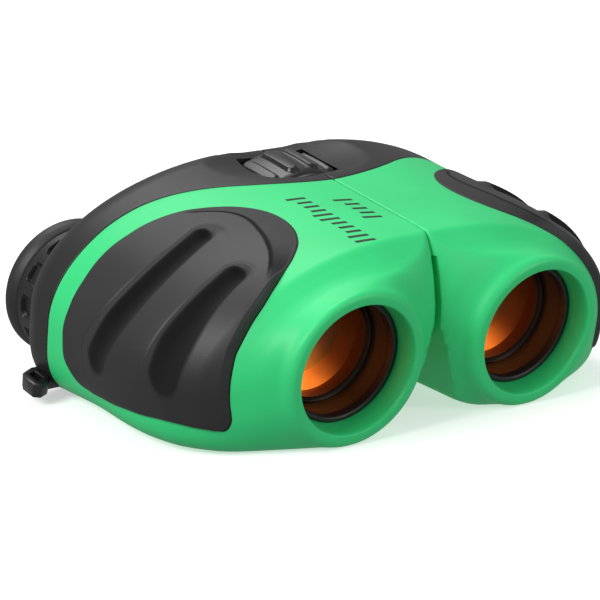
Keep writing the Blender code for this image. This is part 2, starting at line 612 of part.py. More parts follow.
stance = new_home("stance", (0, 0, 0))
stance.rotation_euler = (STANCE_TILT, 0, 0)
hinge_at = (0, 0, HINGE_Z)
halves = {"right": new_home("right_half", hinge_at, stance)}
halves["left"] = new_home("left_half", hinge_at, stance)
focus_turn = new_home("focus_turn", hinge_at, halves["right"], hinge_at)
focus_slide = new_home("focus_slide", hinge_at, halves["right"], hinge_at)
for half_name, direction in SIDES.items():
    half_home = halves[half_name]
    lens_home = new_home(f"{half_name}_objective_slide", (direction * BARREL_X, 0, 0), half_home, hinge_at)
    eye_at = (direction * EYE_X, 0, EYE_Z)
    eye_turn = new_home(f"{half_name}_eyepiece_turn", eye_at, half_home, hinge_at)
    eye_slide = new_home(f"{half_name}_eyepiece_slide", eye_at, half_home, hinge_at)
    make_front_shell(half_name, direction, half_home)
    make_rear_housing(half_name, direction, half_home)
    make_strap_lug(half_name, direction, half_home)
    make_objective(half_name, direction, half_home, lens_home)
    make_prisms(half_name, direction, half_home)
    make_eyepiece(half_name, direction, half_home, eye_turn, eye_slide)
make_focus_gear(halves["right"], focus_turn, focus_slide)
stand_on_origin(stance)
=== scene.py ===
# %% [markdown]
# # Compact folding binoculars
# A pair of small hand-held binoculars: two green case halves turn on a hinge between the barrels,
# black rubber grips lie in the flanks, and black rear housings carry the focus wheel and the
# eyepieces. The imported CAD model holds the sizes, the joints and the inner works. This script
# makes the surfaces that a person sees and touches, each riding on its CAD body.

# %% Load the frame
import json
import math

import bmesh
import bpy
import numpy as np
from mathutils import Matrix, Vector


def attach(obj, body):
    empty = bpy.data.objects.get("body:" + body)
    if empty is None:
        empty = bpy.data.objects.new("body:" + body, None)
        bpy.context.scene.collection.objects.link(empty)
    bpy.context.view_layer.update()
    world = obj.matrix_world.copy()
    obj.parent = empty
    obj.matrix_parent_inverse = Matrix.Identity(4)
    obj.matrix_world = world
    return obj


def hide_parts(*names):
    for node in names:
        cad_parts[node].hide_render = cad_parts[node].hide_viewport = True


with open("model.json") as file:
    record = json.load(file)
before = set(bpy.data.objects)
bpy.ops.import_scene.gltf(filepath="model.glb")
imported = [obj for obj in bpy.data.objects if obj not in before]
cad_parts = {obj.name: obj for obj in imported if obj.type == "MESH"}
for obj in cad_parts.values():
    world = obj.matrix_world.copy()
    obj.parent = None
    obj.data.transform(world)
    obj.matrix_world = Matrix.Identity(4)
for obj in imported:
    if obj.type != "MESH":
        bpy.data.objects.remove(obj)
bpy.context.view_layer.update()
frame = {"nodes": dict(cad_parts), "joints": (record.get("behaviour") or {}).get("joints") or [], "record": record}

# %% [markdown]
# The pieces are easiest to draw in millimetres along the optical axes: the objectives look along
# -Y, the front rims lie in the plane y = 0, the barrel axes in z = 0, and x = 0 is the seam. The
# object itself stands a little nose-down, so the fold joint's axis gives the tilt and its point
# gives the place of that drawing frame in the world.

# %% The optical frame
MM = 0.001
HINGE_Z = 5.3
HINGE_Y = 40.0
BARREL_X = 22.4
BARREL_R = 16.2
EYE_X = 36.5
EYE_Z = -12.9
SIDES = {"right": -1, "left": 1}

fold = next(joint for joint in frame["joints"] if joint["name"] == "fold")
tilt = math.atan2(fold["axis"][2], fold["axis"][1])
optical = Matrix.Rotation(tilt, 4, "X")
optical.translation = Vector(fold["pos_m"]) - optical @ Vector((0, HINGE_Y * MM, HINGE_Z * MM))
to_world = optical @ Matrix.Scale(MM, 4)
print("barrels rise", round(math.degrees(tilt), 2), "degrees; rims' middle at", to_world.translation[:])

# %% [markdown]
# ## Camera, floor and light
# The view is from in front and above, past the half that a user holds in the right hand, through
# a long lens. A pale sheet lies under the object; it glows a little, as backlit paper does, and
# sends no light back onto the case. Large soft lamps give the broad highlights that moulded
# plastic shows.

# %% Camera
CAMERA_AIM = Vector((-0.03844, -0.04614, 0.03332))
CAMERA_AZIMUTH = math.radians(-35.705)
CAMERA_ELEVATION = math.radians(15.495)
CAMERA_DISTANCE = 0.431
CAMERA_LENS = 140.48

toward_camera = Vector((math.sin(CAMERA_AZIMUTH) * math.cos(CAMERA_ELEVATION),
                        -math.cos(CAMERA_AZIMUTH) * math.cos(CAMERA_ELEVATION),
                        math.sin(CAMERA_ELEVATION)))
camera_data = bpy.data.cameras.new("camera")
camera_data.lens = CAMERA_LENS
camera_data.sensor_width = 36
camera_data.clip_start = 0.01
camera = bpy.data.objects.new("camera", camera_data)
camera.location = CAMERA_AIM + toward_camera * CAMERA_DISTANCE
camera.rotation_euler = toward_camera.to_track_quat("Z", "Y").to_euler()
bpy.context.scene.collection.objects.link(camera)
bpy.context.scene.camera = camera
bpy.context.scene.view_settings.view_transform = "Standard"
print("camera at", [round(v, 3) for v in camera.location])

# %% Floor
FLOOR_HALF = 4.0

floor_mesh = bpy.data.meshes.new("floor")
bm = bmesh.new()
bmesh.ops.create_grid(bm, x_segments=2, y_segments=2, size=FLOOR_HALF)
bm.to_mesh(floor_mesh)
bm.free()
floor = bpy.data.objects.new("floor", floor_mesh)
bpy.context.scene.collection.objects.link(floor)
floor_paper = bpy.data.materials.new("floor_paper")
floor_paper.use_nodes = True
paper = floor_paper.node_tree.nodes["Principled BSDF"]
paper.inputs["Base Color"].default_value = (0.86, 0.86, 0.86, 1)
paper.inputs["Roughness"].default_value = 0.8
paper.inputs["Emission Color"].default_value = (1, 1, 1, 1)
paper.inputs["Emission Strength"].default_value = 0.5
floor_mesh.materials.append(floor_paper)
floor.visible_diffuse = False
floor.visible_glossy = False

# %% Lights
world = bpy.data.worlds.new("studio")
bpy.context.scene.world = world
world.use_nodes = True
world.node_tree.nodes["Background"].inputs["Color"].default_value = (1.0, 1.0, 1.0, 1)
world.node_tree.nodes["Background"].inputs["Strength"].default_value = 0.34


def soft_lamp(name, place, aim, size, watts):
    """A square lamp that shines from one place towards another."""
    data = bpy.data.lights.new(name, "AREA")
    data.size = size
    data.energy = watts
    lamp = bpy.data.objects.new(name, data)
    lamp.location = place
    lamp.rotation_euler = (Vector(place) - Vector(aim)).to_track_quat("Z", "Y").to_euler()
    bpy.context.scene.collection.objects.link(lamp)


soft_lamp("key", (-0.85, -0.10, 0.62), (0, 0, 0.02), 0.45, 7.0)
soft_lamp("top", (0.05, 0.45, 0.90), (0, 0, 0.02), 0.6, 4.2)
soft_lamp("front", (0.45, -0.90, 0.35), (0, 0, 0.02), 0.35, 2.4)
print("three soft lamps over a pale sheet")

# %% [markdown]
# ## Finishes
# Most of the outside is moulded polymer: satin green plastic, dull black plastic and soft rubber.
# They differ in colour, gloss and grain, so one function builds them. A fine noise gives the
# mould's spark texture as bump, and a broad one shifts the colour and the gloss a little, as
# handling and uneven cooling do. A number kept on the mesh paints shade into the colour: it
# makes hollows, creases and other places where shade falls darker, as painted shade, and duller.


# %% Moulded polymer
def moulded(name, dark, light, roughness, grain_size, grain_depth, coat=0.0, shadowed=1.0):
    """Plastic or rubber from a textured mould: colours in linear RGB, sizes in metres.

    Where the mesh's shade attribute is 1, the colour is multiplied by the last argument, as painted shade, and its
    shine goes.
    """
    made = bpy.data.materials.new(name)
    made.use_nodes = True
    tree = made.node_tree
    tree.nodes.clear()

    output = tree.nodes.new("ShaderNodeOutputMaterial")
    output.label = "surface"
    output.location = (700, 0)
    polymer = tree.nodes.new("ShaderNodeBsdfPrincipled")
    polymer.label = "moulded polymer"
    polymer.location = (400, 0)
    polymer.inputs["Coat Weight"].default_value = coat
    polymer.inputs["Coat Roughness"].default_value = 0.25
    tree.links.new(polymer.outputs["BSDF"], output.inputs["Surface"])

    place = tree.nodes.new("ShaderNodeTexCoord")
    place.label = "place on the object"
    place.location = (-900, 0)

    tint_frame = tree.nodes.new("NodeFrame")
    tint_frame.label = "colour and gloss drift"
    drift = tree.nodes.new("ShaderNodeTexNoise")
    drift.label = "uneven cooling"
    drift.location = (-650, 200)
    drift.parent = tint_frame
    drift.inputs["Scale"].default_value = 45.0
    drift.inputs["Detail"].default_value = 3.0
    tint = tree.nodes.new("ShaderNodeValToRGB")
    tint.label = "darker to lighter resin"
    tint.location = (-350, 250)
    tint.parent = tint_frame
    tint.color_ramp.elements[0].position = 0.3
    tint.color_ramp.elements[0].color = (*dark, 1)
    tint.color_ramp.elements[1].position = 0.7
    tint.color_ramp.elements[1].color = (*light, 1)
    gloss = tree.nodes.new("ShaderNodeMapRange")
    gloss.label = "handled patches shine more"
    gloss.location = (-350, -30)
    gloss.parent = tint_frame
    gloss.inputs["To Min"].default_value = roughness - 0.05
    gloss.inputs["To Max"].default_value = roughness + 0.05
    tree.links.new(place.outputs["Object"], drift.inputs["Vector"])
    tree.links.new(drift.outputs["Fac"], tint.inputs["Fac"])
    tree.links.new(drift.outputs["Fac"], gloss.inputs["Value"])

    # Painted shade: a mesh attribute darkens the colour in hollows, creases and shaded sides, and makes them
    # rougher.
    shade_frame = tree.nodes.new("NodeFrame")
    shade_frame.label = "unworn grooves stay dark"
    groove = tree.nodes.new("ShaderNodeAttribute")
    groove.label = "in a groove"
    groove.location = (-350, 480)
    groove.parent = shade_frame
    groove.attribute_name = "painted_shade"
    darken = tree.nodes.new("ShaderNodeMix")
    darken.label = "darken the groove"
    darken.data_type = "RGBA"
    darken.blend_type = "MULTIPLY"
    darken.location = (-50, 350)
    darken.parent = shade_frame
    darken.inputs["B"].default_value = (shadowed, shadowed, shadowed, 1)
    tree.links.new(groove.outputs["Fac"], darken.inputs["Factor"])
    tree.links.new(tint.outputs["Color"], darken.inputs["A"])
    matt = tree.nodes.new("ShaderNodeMath")
    matt.label = "no shine in the groove"
    matt.operation = "MULTIPLY_ADD"
    matt.location = (-50, 600)
    matt.parent = shade_frame
    matt.inputs[1].default_value = 0.5 * (1 - shadowed)
    tree.links.new(groove.outputs["Fac"], matt.inputs[0])
    tree.links.new(gloss.outputs["Result"], matt.inputs[2])
    tree.links.new(matt.outputs["Value"], polymer.inputs["Roughness"])
    tree.links.new(darken.outputs["Result"], polymer.inputs["Base Color"])

    grain_frame = tree.nodes.new("NodeFrame")
    grain_frame.label = "mould texture"
    grain = tree.nodes.new("ShaderNodeTexNoise")
    grain.label = "spark grain"
    grain.location = (-650, -350)
    grain.parent = grain_frame
    grain.inputs["Scale"].default_value = 1.0 / grain_size
    grain.inputs["Detail"].default_value = 2.0
    bump = tree.nodes.new("ShaderNodeBump")
    bump.label = "grain relief"
    bump.location = (-350, -350)
    bump.parent = grain_frame
    bump.inputs["Strength"].default_value = 0.6
    bump.inputs["Distance"].default_value = grain_depth
    tree.links.new(place.outputs["Object"], grain.inputs["Vector"])
    tree.links.new(grain.outputs["Fac"], bump.inputs["Height"])
    tree.links.new(bump.outputs["Normal"], polymer.inputs["Normal"])
    return made


green_case = moulded("green_case", (0.026, 0.66, 0.20), (0.034, 0.74, 0.235), 0.5, 0.0005, 0.00001,
                     coat=0.04)
black_housing = moulded("black_housing", (0.009, 0.009, 0.010), (0.014, 0.014, 0.015), 0.45, 0.0004, 0.00002)
# The last number of the grip rubber and of the tube sets how dark their painted shade is.
grip_rubber = moulded("grip_rubber", (0.016, 0.016, 0.017), (0.023, 0.023, 0.024), 0.5, 0.0003, 0.00003,
                      shadowed=0.1)
wheel_rubber = moulded("wheel_rubber", (0.008, 0.008, 0.009), (0.013, 0.013, 0.014), 0.33, 0.0004, 0.00001,
                       coat=0.2)
lug_plastic = moulded("lug_plastic", (0.010, 0.010, 0.011), (0.016, 0.016, 0.018), 0.28, 0.0006, 0.00001,
                      coat=0.3)
# The tube's brown is a painted reflection of the lens glow; its painted shade darkens it towards the top.
blackened_tube = moulded("blackened_tube", (0.11, 0.038, 0.010), (0.16, 0.055, 0.014), 0.3, 0.0009, 0.00002,
                         shadowed=0.05)
trim_black = moulded("trim_black", (0.010, 0.010, 0.010), (0.016, 0.016, 0.016), 0.4, 0.0006, 0.00001)
marking_ink = moulded("marking_ink", (0.003, 0.010, 0.005), (0.006, 0.016, 0.008), 0.5, 0.0004, 0.00001)

# %% [markdown]
# The hinge tube, screw, clips and lens rings are turned or pressed metal. A noise stretched along
# the lathe's direction gives fine tool marks, which roughen the reflection across the grain.


# %% Metal
def worked_metal(name, colour, roughness, stretch):
    """Bare metal with tool marks that run square to the stretched axis."""
    made = bpy.data.materials.new(name)
    made.use_nodes = True
    tree = made.node_tree
    tree.nodes.clear()

    output = tree.nodes.new("ShaderNodeOutputMaterial")
    output.label = "surface"
    output.location = (700, 0)
    metal = tree.nodes.new("ShaderNodeBsdfPrincipled")
    metal.label = "bare metal"
    metal.location = (400, 0)
    metal.inputs["Base Color"].default_value = (*colour, 1)
    metal.inputs["Metallic"].default_value = 1.0
    tree.links.new(metal.outputs["BSDF"], output.inputs["Surface"])

    marks_frame = tree.nodes.new("NodeFrame")
    marks_frame.label = "tool marks"
    place = tree.nodes.new("ShaderNodeTexCoord")
    place.label = "place on the object"
    place.location = (-900, 0)
    along = tree.nodes.new("ShaderNodeMapping")
    along.label = "draw the noise out into lines"
    along.location = (-700, 0)
    along.parent = marks_frame
    along.inputs["Scale"].default_value = stretch
    marks = tree.nodes.new("ShaderNodeTexNoise")
    marks.label = "lathe lines"
    marks.location = (-450, 0)
    marks.parent = marks_frame
    marks.inputs["Scale"].default_value = 900.0
    marks.inputs["Detail"].default_value = 3.0
    gloss = tree.nodes.new("ShaderNodeMapRange")
    gloss.label = "bright and dull lines"
    gloss.location = (-200, 100)
    gloss.parent = marks_frame
    gloss.inputs["To Min"].default_value = roughness - 0.08
    gloss.inputs["To Max"].default_value = roughness + 0.12
    bump = tree.nodes.new("ShaderNodeBump")
    bump.label = "line relief"
    bump.location = (-200, -150)
    bump.parent = marks_frame
    bump.inputs["Strength"].default_value = 0.4
    bump.inputs["Distance"].default_value = 0.00001
    tree.links.new(place.outputs["Object"], along.inputs["Vector"])
    tree.links.new(along.outputs["Vector"], marks.inputs["Vector"])
    tree.links.new(marks.outputs["Fac"], gloss.inputs["Value"])
    tree.links.new(marks.outputs["Fac"], bump.inputs["Height"])
    tree.links.new(gloss.outputs["Result"], metal.inputs["Roughness"])
    tree.links.new(bump.outputs["Normal"], metal.inputs["Normal"])
    return made


turned_steel = worked_metal("turned_steel", (0.55, 0.55, 0.57), 0.3, (0.2, 4.0, 0.2))
lens_ring_metal = worked_metal("lens_ring_metal", (0.035, 0.026, 0.022), 0.4, (0.2, 4.0, 0.2))
turned_brass = worked_metal("turned_brass", (0.70, 0.52, 0.25), 0.34, (0.2, 4.0, 0.2))

# %% [markdown]
# The objectives carry the ruby and amber coating of low-cost sports optics: seen square on they
# are orange, and towards a grazing view they turn deep red. Layer Weight mixes the two, and a
# faint noise keeps the coating from looking like paint. Most of the light passes straight through,
# so that the works behind are lit. The inner glass is clear.


# %% Optical glass
def optical_glass(name, face_colour, edge_colour, passed_colour, see_through, roughness):
    """Coated thin glass: the coating's two colours, and the share and colour of the light that passes."""
    made = bpy.data.materials.new(name)
    made.use_nodes = True
    tree = made.node_tree
    tree.nodes.clear()

    output = tree.nodes.new("ShaderNodeOutputMaterial")
    output.label = "surface"
    output.location = (700, 0)
    glass = tree.nodes.new("ShaderNodeBsdfPrincipled")
    glass.label = "coated glass"
    glass.location = (400, 0)
    glass.inputs["IOR"].default_value = 1.5
    glass.inputs["Coat Weight"].default_value = 0.6
    glass.inputs["Coat Roughness"].default_value = 0.03
    passing = tree.nodes.new("ShaderNodeBsdfTransparent")
    passing.label = "light that passes"
    passing.location = (400, 200)
    passing.inputs["Color"].default_value = (*passed_colour, 1)
    share = tree.nodes.new("ShaderNodeMixShader")
    share.label = "share that the coating returns"
    share.location = (550, 100)
    share.inputs["Fac"].default_value = 1.0 - see_through
    tree.links.new(passing.outputs["BSDF"], share.inputs[1])
    tree.links.new(glass.outputs["BSDF"], share.inputs[2])
    tree.links.new(share.outputs["Shader"], output.inputs["Surface"])

    coating_frame = tree.nodes.new("NodeFrame")
    coating_frame.label = "coating"
    slope = tree.nodes.new("ShaderNodeLayerWeight")
    slope.label = "square-on to grazing"
    slope.location = (-500, 150)
    slope.parent = coating_frame
    slope.inputs["Blend"].default_value = 0.45
    hue = tree.nodes.new("ShaderNodeMix")
    hue.label = "coating colour"
    hue.data_type = "RGBA"
    hue.location = (-200, 150)
    hue.parent = coating_frame
    hue.inputs["A"].default_value = (*face_colour, 1)
    hue.inputs["B"].default_value = (*edge_colour, 1)
    tree.links.new(slope.outputs["Facing"], hue.inputs["Factor"])
    tree.links.new(hue.outputs["Result"], glass.inputs["Base Color"])

    dust_frame = tree.nodes.new("NodeFrame")
    dust_frame.label = "wiped dust"
    place = tree.nodes.new("ShaderNodeTexCoord")
    place.label = "place on the object"
    place.location = (-700, -200)
    smears = tree.nodes.new("ShaderNodeTexNoise")
    smears.label = "faint smears"
    smears.location = (-500, -200)
    smears.parent = dust_frame
    smears.inputs["Scale"].default_value = 300.0
    haze = tree.nodes.new("ShaderNodeMapRange")
    haze.label = "haze"
    haze.location = (-200, -200)
    haze.parent = dust_frame
    haze.inputs["To Min"].default_value = roughness
    haze.inputs["To Max"].default_value = roughness + 0.04
    tree.links.new(place.outputs["Object"], smears.inputs["Vector"])
    tree.links.new(smears.outputs["Fac"], haze.inputs["Value"])
    tree.links.new(haze.outputs["Result"], glass.inputs["Roughness"])
    return made


ruby_coating = optical_glass("ruby_coating", (0.50, 0.16, 0.04), (0.25, 0.03, 0.02), (1.0, 0.72, 0.48),
                             see_through=0.82, roughness=0.05)
clear_glass = optical_glass("clear_glass", (0.30, 0.33, 0.31), (0.12, 0.20, 0.16), (0.90, 0.96, 0.93),
                            see_through=0.75, roughness=0.03)

# %% [markdown]
# Every CAD node that still shows gets the finish of its own record slot, so that nothing keeps a
# flat stand-in colour.

# %% Finish the CAD nodes
finish_of_slot = {
    "green_plastic": green_case,
    "black_plastic": black_housing,
    "black_gloss": lug_plastic,
    "black_rubber": grip_rubber,
    "bare_metal": turned_steel,
    "brass": turned_brass,
    "coated_glass": ruby_coating,
    "clear_glass": clear_glass,
}
for part_row in frame["record"]["subparts"]:
    node = frame["nodes"][part_row["node"]]
    node.data.materials.clear()
    node.data.materials.append(finish_of_slot[part_row["material_slot"]])

# %% [markdown]
# ## The case's form
# Across the barrels the case is a rounded box whose width, height and corner radii change from
# the round rim to the broad back. Each table gives one of those sizes at stations behind the rim,
# and a smooth curve runs between the stations. A point is inside the case where it passes every
# one of the section's limits, and the skin is found by reaching out from the middle until it
# stops passing.

# %% Section tables, as (distance behind the rim, size in mm)
STANCE_SLOPE = math.tan(tilt)
REAR_Y = 72.5
REAR_R = 10.0
BODY_Y = 20.0
MIDDLE_SHIFT = 6.0
SHOULDER_SHRINK = (0.9, 0.8)
FOOT_SHRINK = 0.5
LONGEST_RAY = 75.0
HALVINGS = 26
SEAM_GAP = 0.14
FOLD_HALF = math.radians(18.5)
OUTER_SIDE = ((0, 38.6), (2, 39.3), (5.4, 43.4), (9.2, 48.2), (12, 50.8), (18, 54.4), (26, 56.3),
              (36, 57.0), (46, 57.1))
INNER_SIDE = ((0, 6.2), (2, 5.6), (3.6, 3.4), (5.4, 0.5), (7.4, SEAM_GAP))
TOP = ((0, 16.2), (3.6, 16.6), (5.4, 16.9), (7.4, 17.9), (9.2, 19.3), (12, 21.2))
INNER_TOP_R = ((0, 16.2), (3.6, 14.9), (5.4, 11.6), (7.4, 6.1), (9.2, 2.8), (12, 0.6), (15, 0.2))
OUTER_TOP_RX = ((0, 16.2), (2, 19), (5.4, 28), (9.2, 39), (12, 44.5), (18, 47), (26, 48.5), (36, 49))
OUTER_TOP_RZ = ((0, 16.2), (5.4, 20.5), (9.2, 25), (12, 28), (18, 29.5), (26, 30), (36, 29.5), (46, 28.6))
OUTER_BOTTOM_RX = ((0, 16.2), (5.4, 14), (12, 11.5), (48, 14))
OUTER_BOTTOM_RZ = ((0, 16.2), (5.4, 12), (12, 8.5), (26, 9.5), (48, 14))
OUTER_BOTTOM_POWER = ((0, 2.0), (5.4, 2.4), (12, 3.0), (48, 2.5))
INNER_BOTTOM_RX = ((0, 16.2), (5.4, 17), (12, 19), (30, 22), (48, 26))
INNER_BOTTOM_RZ = ((0, 16.2), (12, 14.5), (48, 17))


# %% Smooth steps and smooth values between stations
def ease(value):
    """A smooth step from 0 to 1."""
    value = np.clip(value, 0, 1)
    return value * value * (3 - 2 * value)


def smooth_value(points, at):
    """Smooth values of a table at an array of stations, without overshoot."""
    stations, values = (np.array(column, float) for column in zip(*points))
    at = np.clip(at, stations[0], stations[-1])
    widths = np.diff(stations)
    rises = np.diff(values) / widths
    slopes = np.zeros(len(values))
    for i in range(1, len(values) - 1):
        if rises[i - 1] * rises[i] > 0:
            slopes[i] = 2 * rises[i - 1] * rises[i] / (rises[i - 1] + rises[i])
    k = np.clip(np.searchsorted(stations, at, side="right") - 1, 0, len(widths) - 1)
    t = (at - stations[k]) / widths[k]
    return ((2 * t**3 - 3 * t**2 + 1) * values[k] + (t**3 - 2 * t**2 + t) * widths[k] * slopes[k]
            + (3 * t**2 - 2 * t**3) * values[k + 1] + (t**3 - t**2) * widths[k] * slopes[k + 1])


# %% Limits of the sections
def section_limits(y, grow):
    """The limits of the left half's sections at stations y, grown all round by some millimetres."""
    back = np.clip(y - (REAR_Y - REAR_R), 0, REAR_R)
    inset = REAR_R - np.sqrt(REAR_R**2 - back**2)
    seam_r = smooth_value(INNER_TOP_R, y) + grow
    return {
        "grow": grow,
        "inner": smooth_value(INNER_SIDE, y) - grow,
        "outer": smooth_value(OUTER_SIDE, y) - inset + grow,
        "top": smooth_value(TOP, y) - inset + grow,
        "bottom": -BARREL_R - STANCE_SLOPE * y + inset - grow,
        "seam_corner": (seam_r, seam_r, 2.0),
        "shoulder": (smooth_value(OUTER_TOP_RX, y) - SHOULDER_SHRINK[0] * inset + grow,
                     smooth_value(OUTER_TOP_RZ, y) - SHOULDER_SHRINK[1] * inset + grow, 2.0),
        "outer_foot": (smooth_value(OUTER_BOTTOM_RX, y) - FOOT_SHRINK * inset + grow,
                       smooth_value(OUTER_BOTTOM_RZ, y) - FOOT_SHRINK * inset + grow,
                       smooth_value(OUTER_BOTTOM_POWER, y)),
        "inner_foot": (smooth_value(INNER_BOTTOM_RX, y) - FOOT_SHRINK * inset + grow,
                       smooth_value(INNER_BOTTOM_RZ, y) - FOOT_SHRINK * inset + grow, 2.0),
    }


def past_corner(past_x, past_z, corner):
    """Whether points lie beyond a rounded corner, given how far they are past its two sides."""
    radius_x, radius_z = np.maximum(corner[0], 0.1), np.maximum(corner[1], 0.1)
    across = np.clip(past_x / radius_x + 1, 0, None)
    upward = np.clip(past_z / radius_z + 1, 0, None)
    return (across > 0) & (upward > 0) & (across**corner[2] + upward**corner[2] > 1)


def inside_case(x, z, limits):
    """Which points are within the case, for sections whose limits are known."""
    inner, outer, top, bottom = (limits[side] for side in ("inner", "outer", "top", "bottom"))
    fold_wall = SEAM_GAP - limits["grow"] + np.clip(HINGE_Z - z, 0, None) * math.tan(FOLD_HALF)
    held = (inner < x) & (x < outer) & (bottom < z) & (z < top) & (x > fold_wall)
    cut = past_corner(inner - x, z - top, limits["seam_corner"])
    cut |= past_corner(x - outer, z - top, limits["shoulder"])
    cut |= past_corner(x - outer, bottom - z, limits["outer_foot"])
    cut |= past_corner(inner - x, bottom - z, limits["inner_foot"])
    return held & ~cut


def reach_skin(start, direction, grow=0.0):
    """Where rays across the barrels, from inside the case, leave it; each stays in its own section."""
    limits = section_limits(start[:, 1], grow)
    near = np.zeros(len(start))
    far = np.full(len(start), LONGEST_RAY)
    for _ in range(HALVINGS):
        middle = (near + far) / 2
        points = start + direction * middle[:, None]
        held = inside_case(points[:, 0], points[:, 2], limits)
        near = np.where(held, middle, near)
        far = np.where(held, far, middle)
    return start + direction * near[:, None]


def section_middle(y):
    """The point that a section's rays start from: the barrel's axis at the rim, the case's middle behind."""
    share = ease(y / BODY_Y)
    return np.stack([BARREL_X + MIDDLE_SHIFT * share, y, -share], axis=1)


def skin(y, angle, grow=0.0):
    """Points of the left half's skin at stations y and angles round the section's middle."""
    direction = np.stack([np.cos(angle), np.zeros_like(angle), np.sin(angle)], axis=1)
    return reach_skin(section_middle(y), direction, grow)


# %% [markdown]
# ## From rings to a skin
# A loft is a grid wrapped into a tube: each row of the grid is laid on one section of the case.
# `create_grid` makes the faces in good order, the rows are then moved onto their sections, and
# the two edges that meet are merged. The columns stand closer together at the inner top edge,
# where the section turns sharply.

# %% Columns round the section
COLUMNS = 208
SEAM_EDGE = math.radians(141)


def column_angles():
    """Angles round the section, from below the case, closer together at the seam's edge."""
    fine = np.linspace(-math.pi / 2, 1.5 * math.pi, 4000)
    density = 1 + 5 * np.exp(-((fine - SEAM_EDGE) / math.radians(7))**2)
    total = np.concatenate([[0], np.cumsum((density[1:] + density[:-1]) / 2)])
    return np.interp(np.linspace(0, total[-1], COLUMNS + 1)[:-1], total, fine)


ANGLES = column_angles()


def wrapped_grid(rings, shades=None):
    """A tube through rings of points, each an array of (columns, 3), closed where its ends are poles.

    With shades, a number of painted shade for each point is kept as a mesh attribute.
    """
    rows, columns = len(rings), len(rings[0])
    bm = bmesh.new()
    painted_shade = bm.verts.layers.float.new("painted_shade") if shades else None
    bmesh.ops.create_grid(bm, x_segments=columns, y_segments=rows - 1, size=1.0)
    for vert in bm.verts:
        column = round((vert.co.x + 1) / 2 * columns) % columns
        row = round((vert.co.y + 1) / 2 * (rows - 1))
        vert.co = rings[row][column]
        if shades:
            vert[painted_shade] = shades[row][column]
    bmesh.ops.remove_doubles(bm, verts=bm.verts, dist=0.0005)
    bmesh.ops.recalc_face_normals(bm, faces=bm.faces)
    return bm


def circle_ring(radius, y, axis=(BARREL_X, 0.0), angles=ANGLES):
    """A round ring of points about an axis along Y."""
    return np.stack([axis[0] + radius * np.cos(angles), np.full(len(angles), float(y)),
                     axis[1] + radius * np.sin(angles)], axis=1)


# %% Finished pieces
def finish_piece(name, bm, side, body, material, replaced=(), sharp=40):
    """Puts a mesh drawn for the left half into the world, on its own side, and rides it on its body."""
    if side == "right":
        bmesh.ops.scale(bm, vec=(-1, 1, 1), verts=bm.verts)
        bmesh.ops.reverse_faces(bm, faces=bm.faces)
    bmesh.ops.transform(bm, matrix=to_world, verts=bm.verts)
    mesh = bpy.data.meshes.new(name)
    bm.to_mesh(mesh)
    bm.free()
    mesh.shade_smooth()
    mesh.set_sharp_from_angle(angle=math.radians(sharp))
    mesh.materials.append(material)
    piece = bpy.data.objects.new(name, mesh)
    bpy.context.scene.collection.objects.link(piece)
    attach(piece, body)
    if replaced:
        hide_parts(*replaced)
    return piece


def apply_cut(bm, cutter, operation="DIFFERENCE"):
    """A Boolean between two closed bmeshes, which gives back a new bmesh."""
    held = []
    for name, source in (("cut_body", bm), ("cut_tool", cutter)):
        mesh = bpy.data.meshes.new(name)
        source.to_mesh(mesh)
        source.free()
        held.append(bpy.data.objects.new(name, mesh))
        bpy.context.scene.collection.objects.link(held[-1])
    boolean = held[0].modifiers.new("cut", "BOOLEAN")
    boolean.operation = operation
    boolean.solver = "MANIFOLD"
    boolean.object = held[1]
    graph = bpy.context.evaluated_depsgraph_get()
    result = bmesh.new()
    result.from_mesh(held[0].evaluated_get(graph).to_mesh())
    for spent in held:
        bpy.data.objects.remove(spent, do_unlink=True)
    return result


def cylinder(radius, front, back, axis, segments=96):
    """A closed cylinder along Y."""
    bm = bmesh.new()
    bmesh.ops.create_cone(bm, cap_ends=True, segments=segments, radius1=radius, radius2=radius,
                          depth=back - front)
    bmesh.ops.rotate(bm, cent=(0, 0, 0), matrix=Matrix.Rotation(-math.pi / 2, 3, "X"), verts=bm.verts)
    bmesh.ops.translate(bm, vec=(axis[0], (front + back) / 2, axis[1]), verts=bm.verts)
    return bm


def block(low, high):
    """A closed box between two corners."""
    low, high = Vector(low), Vector(high)
    bm = bmesh.new()
    bmesh.ops.create_cube(bm, size=1.0,
                          matrix=Matrix.Translation((low + high) / 2) @ Matrix.Diagonal((*(high - low), 1)))
    return bm


# %% [markdown]
# ## The grip's outline
# The rubber grip is drawn in a plane tipped 40 degrees outward, which lies roughly along the
# flank: one coordinate runs back along the barrel, the other up the slope. The outline is closed
# and star-shaped about a middle point, so it can be read as a radius round that point.

# %% Grip outline and crease
GRIP_TILT = math.radians(40)
GRIP_MIDDLE = (32.0, -24.0)
PLANE_OUT = 8.0
THINNEST_FLANK = 0.6
GRIP_OUTLINE = ((51.5, -30.0), (51.5, -37.0), (51.7, -43.0), (50.6, -46.4), (47.2, -48.1), (41.5, -48.3),
                (35.0, -47.8), (28.0, -46.8), (21.0, -45.2), (15.0, -43.1), (10.5, -40.9), (8.4, -39.2),
                (7.7, -37.4), (8.0, -34.5), (8.6, -30.0), (9.4, -25.5), (10.2, -20.0), (11.3, -14.5),
                (13.5, -9.2), (16.8, -4.0), (20.5, -0.9), (24.5, 0.8), (29.0, 1.6), (34.5, 1.3),
                (39.5, -0.6), (44.0, -4.0), (47.5, -8.5), (50.0, -14.0), (51.2, -20.0), (51.7, -24.5))
CREASE = ((47.6, -10.0), (44.4, -7.4), (41.0, -4.8), (37.4, -3.3), (33.5, -2.9), (28.3, -3.6), (23.5, -4.8),
          (19.2, -6.6), (16.8, -8.2), (14.1, -10.8), (12.2, -13.8), (11.2, -17.0), (10.2, -22.0))
BEARINGS = np.linspace(-math.pi, math.pi, 361)[:-1]
ACROSS = np.array((math.cos(GRIP_TILT), 0.0, math.sin(GRIP_TILT)))
UP_SLOPE = np.array((-math.sin(GRIP_TILT), 0.0, math.cos(GRIP_TILT)))


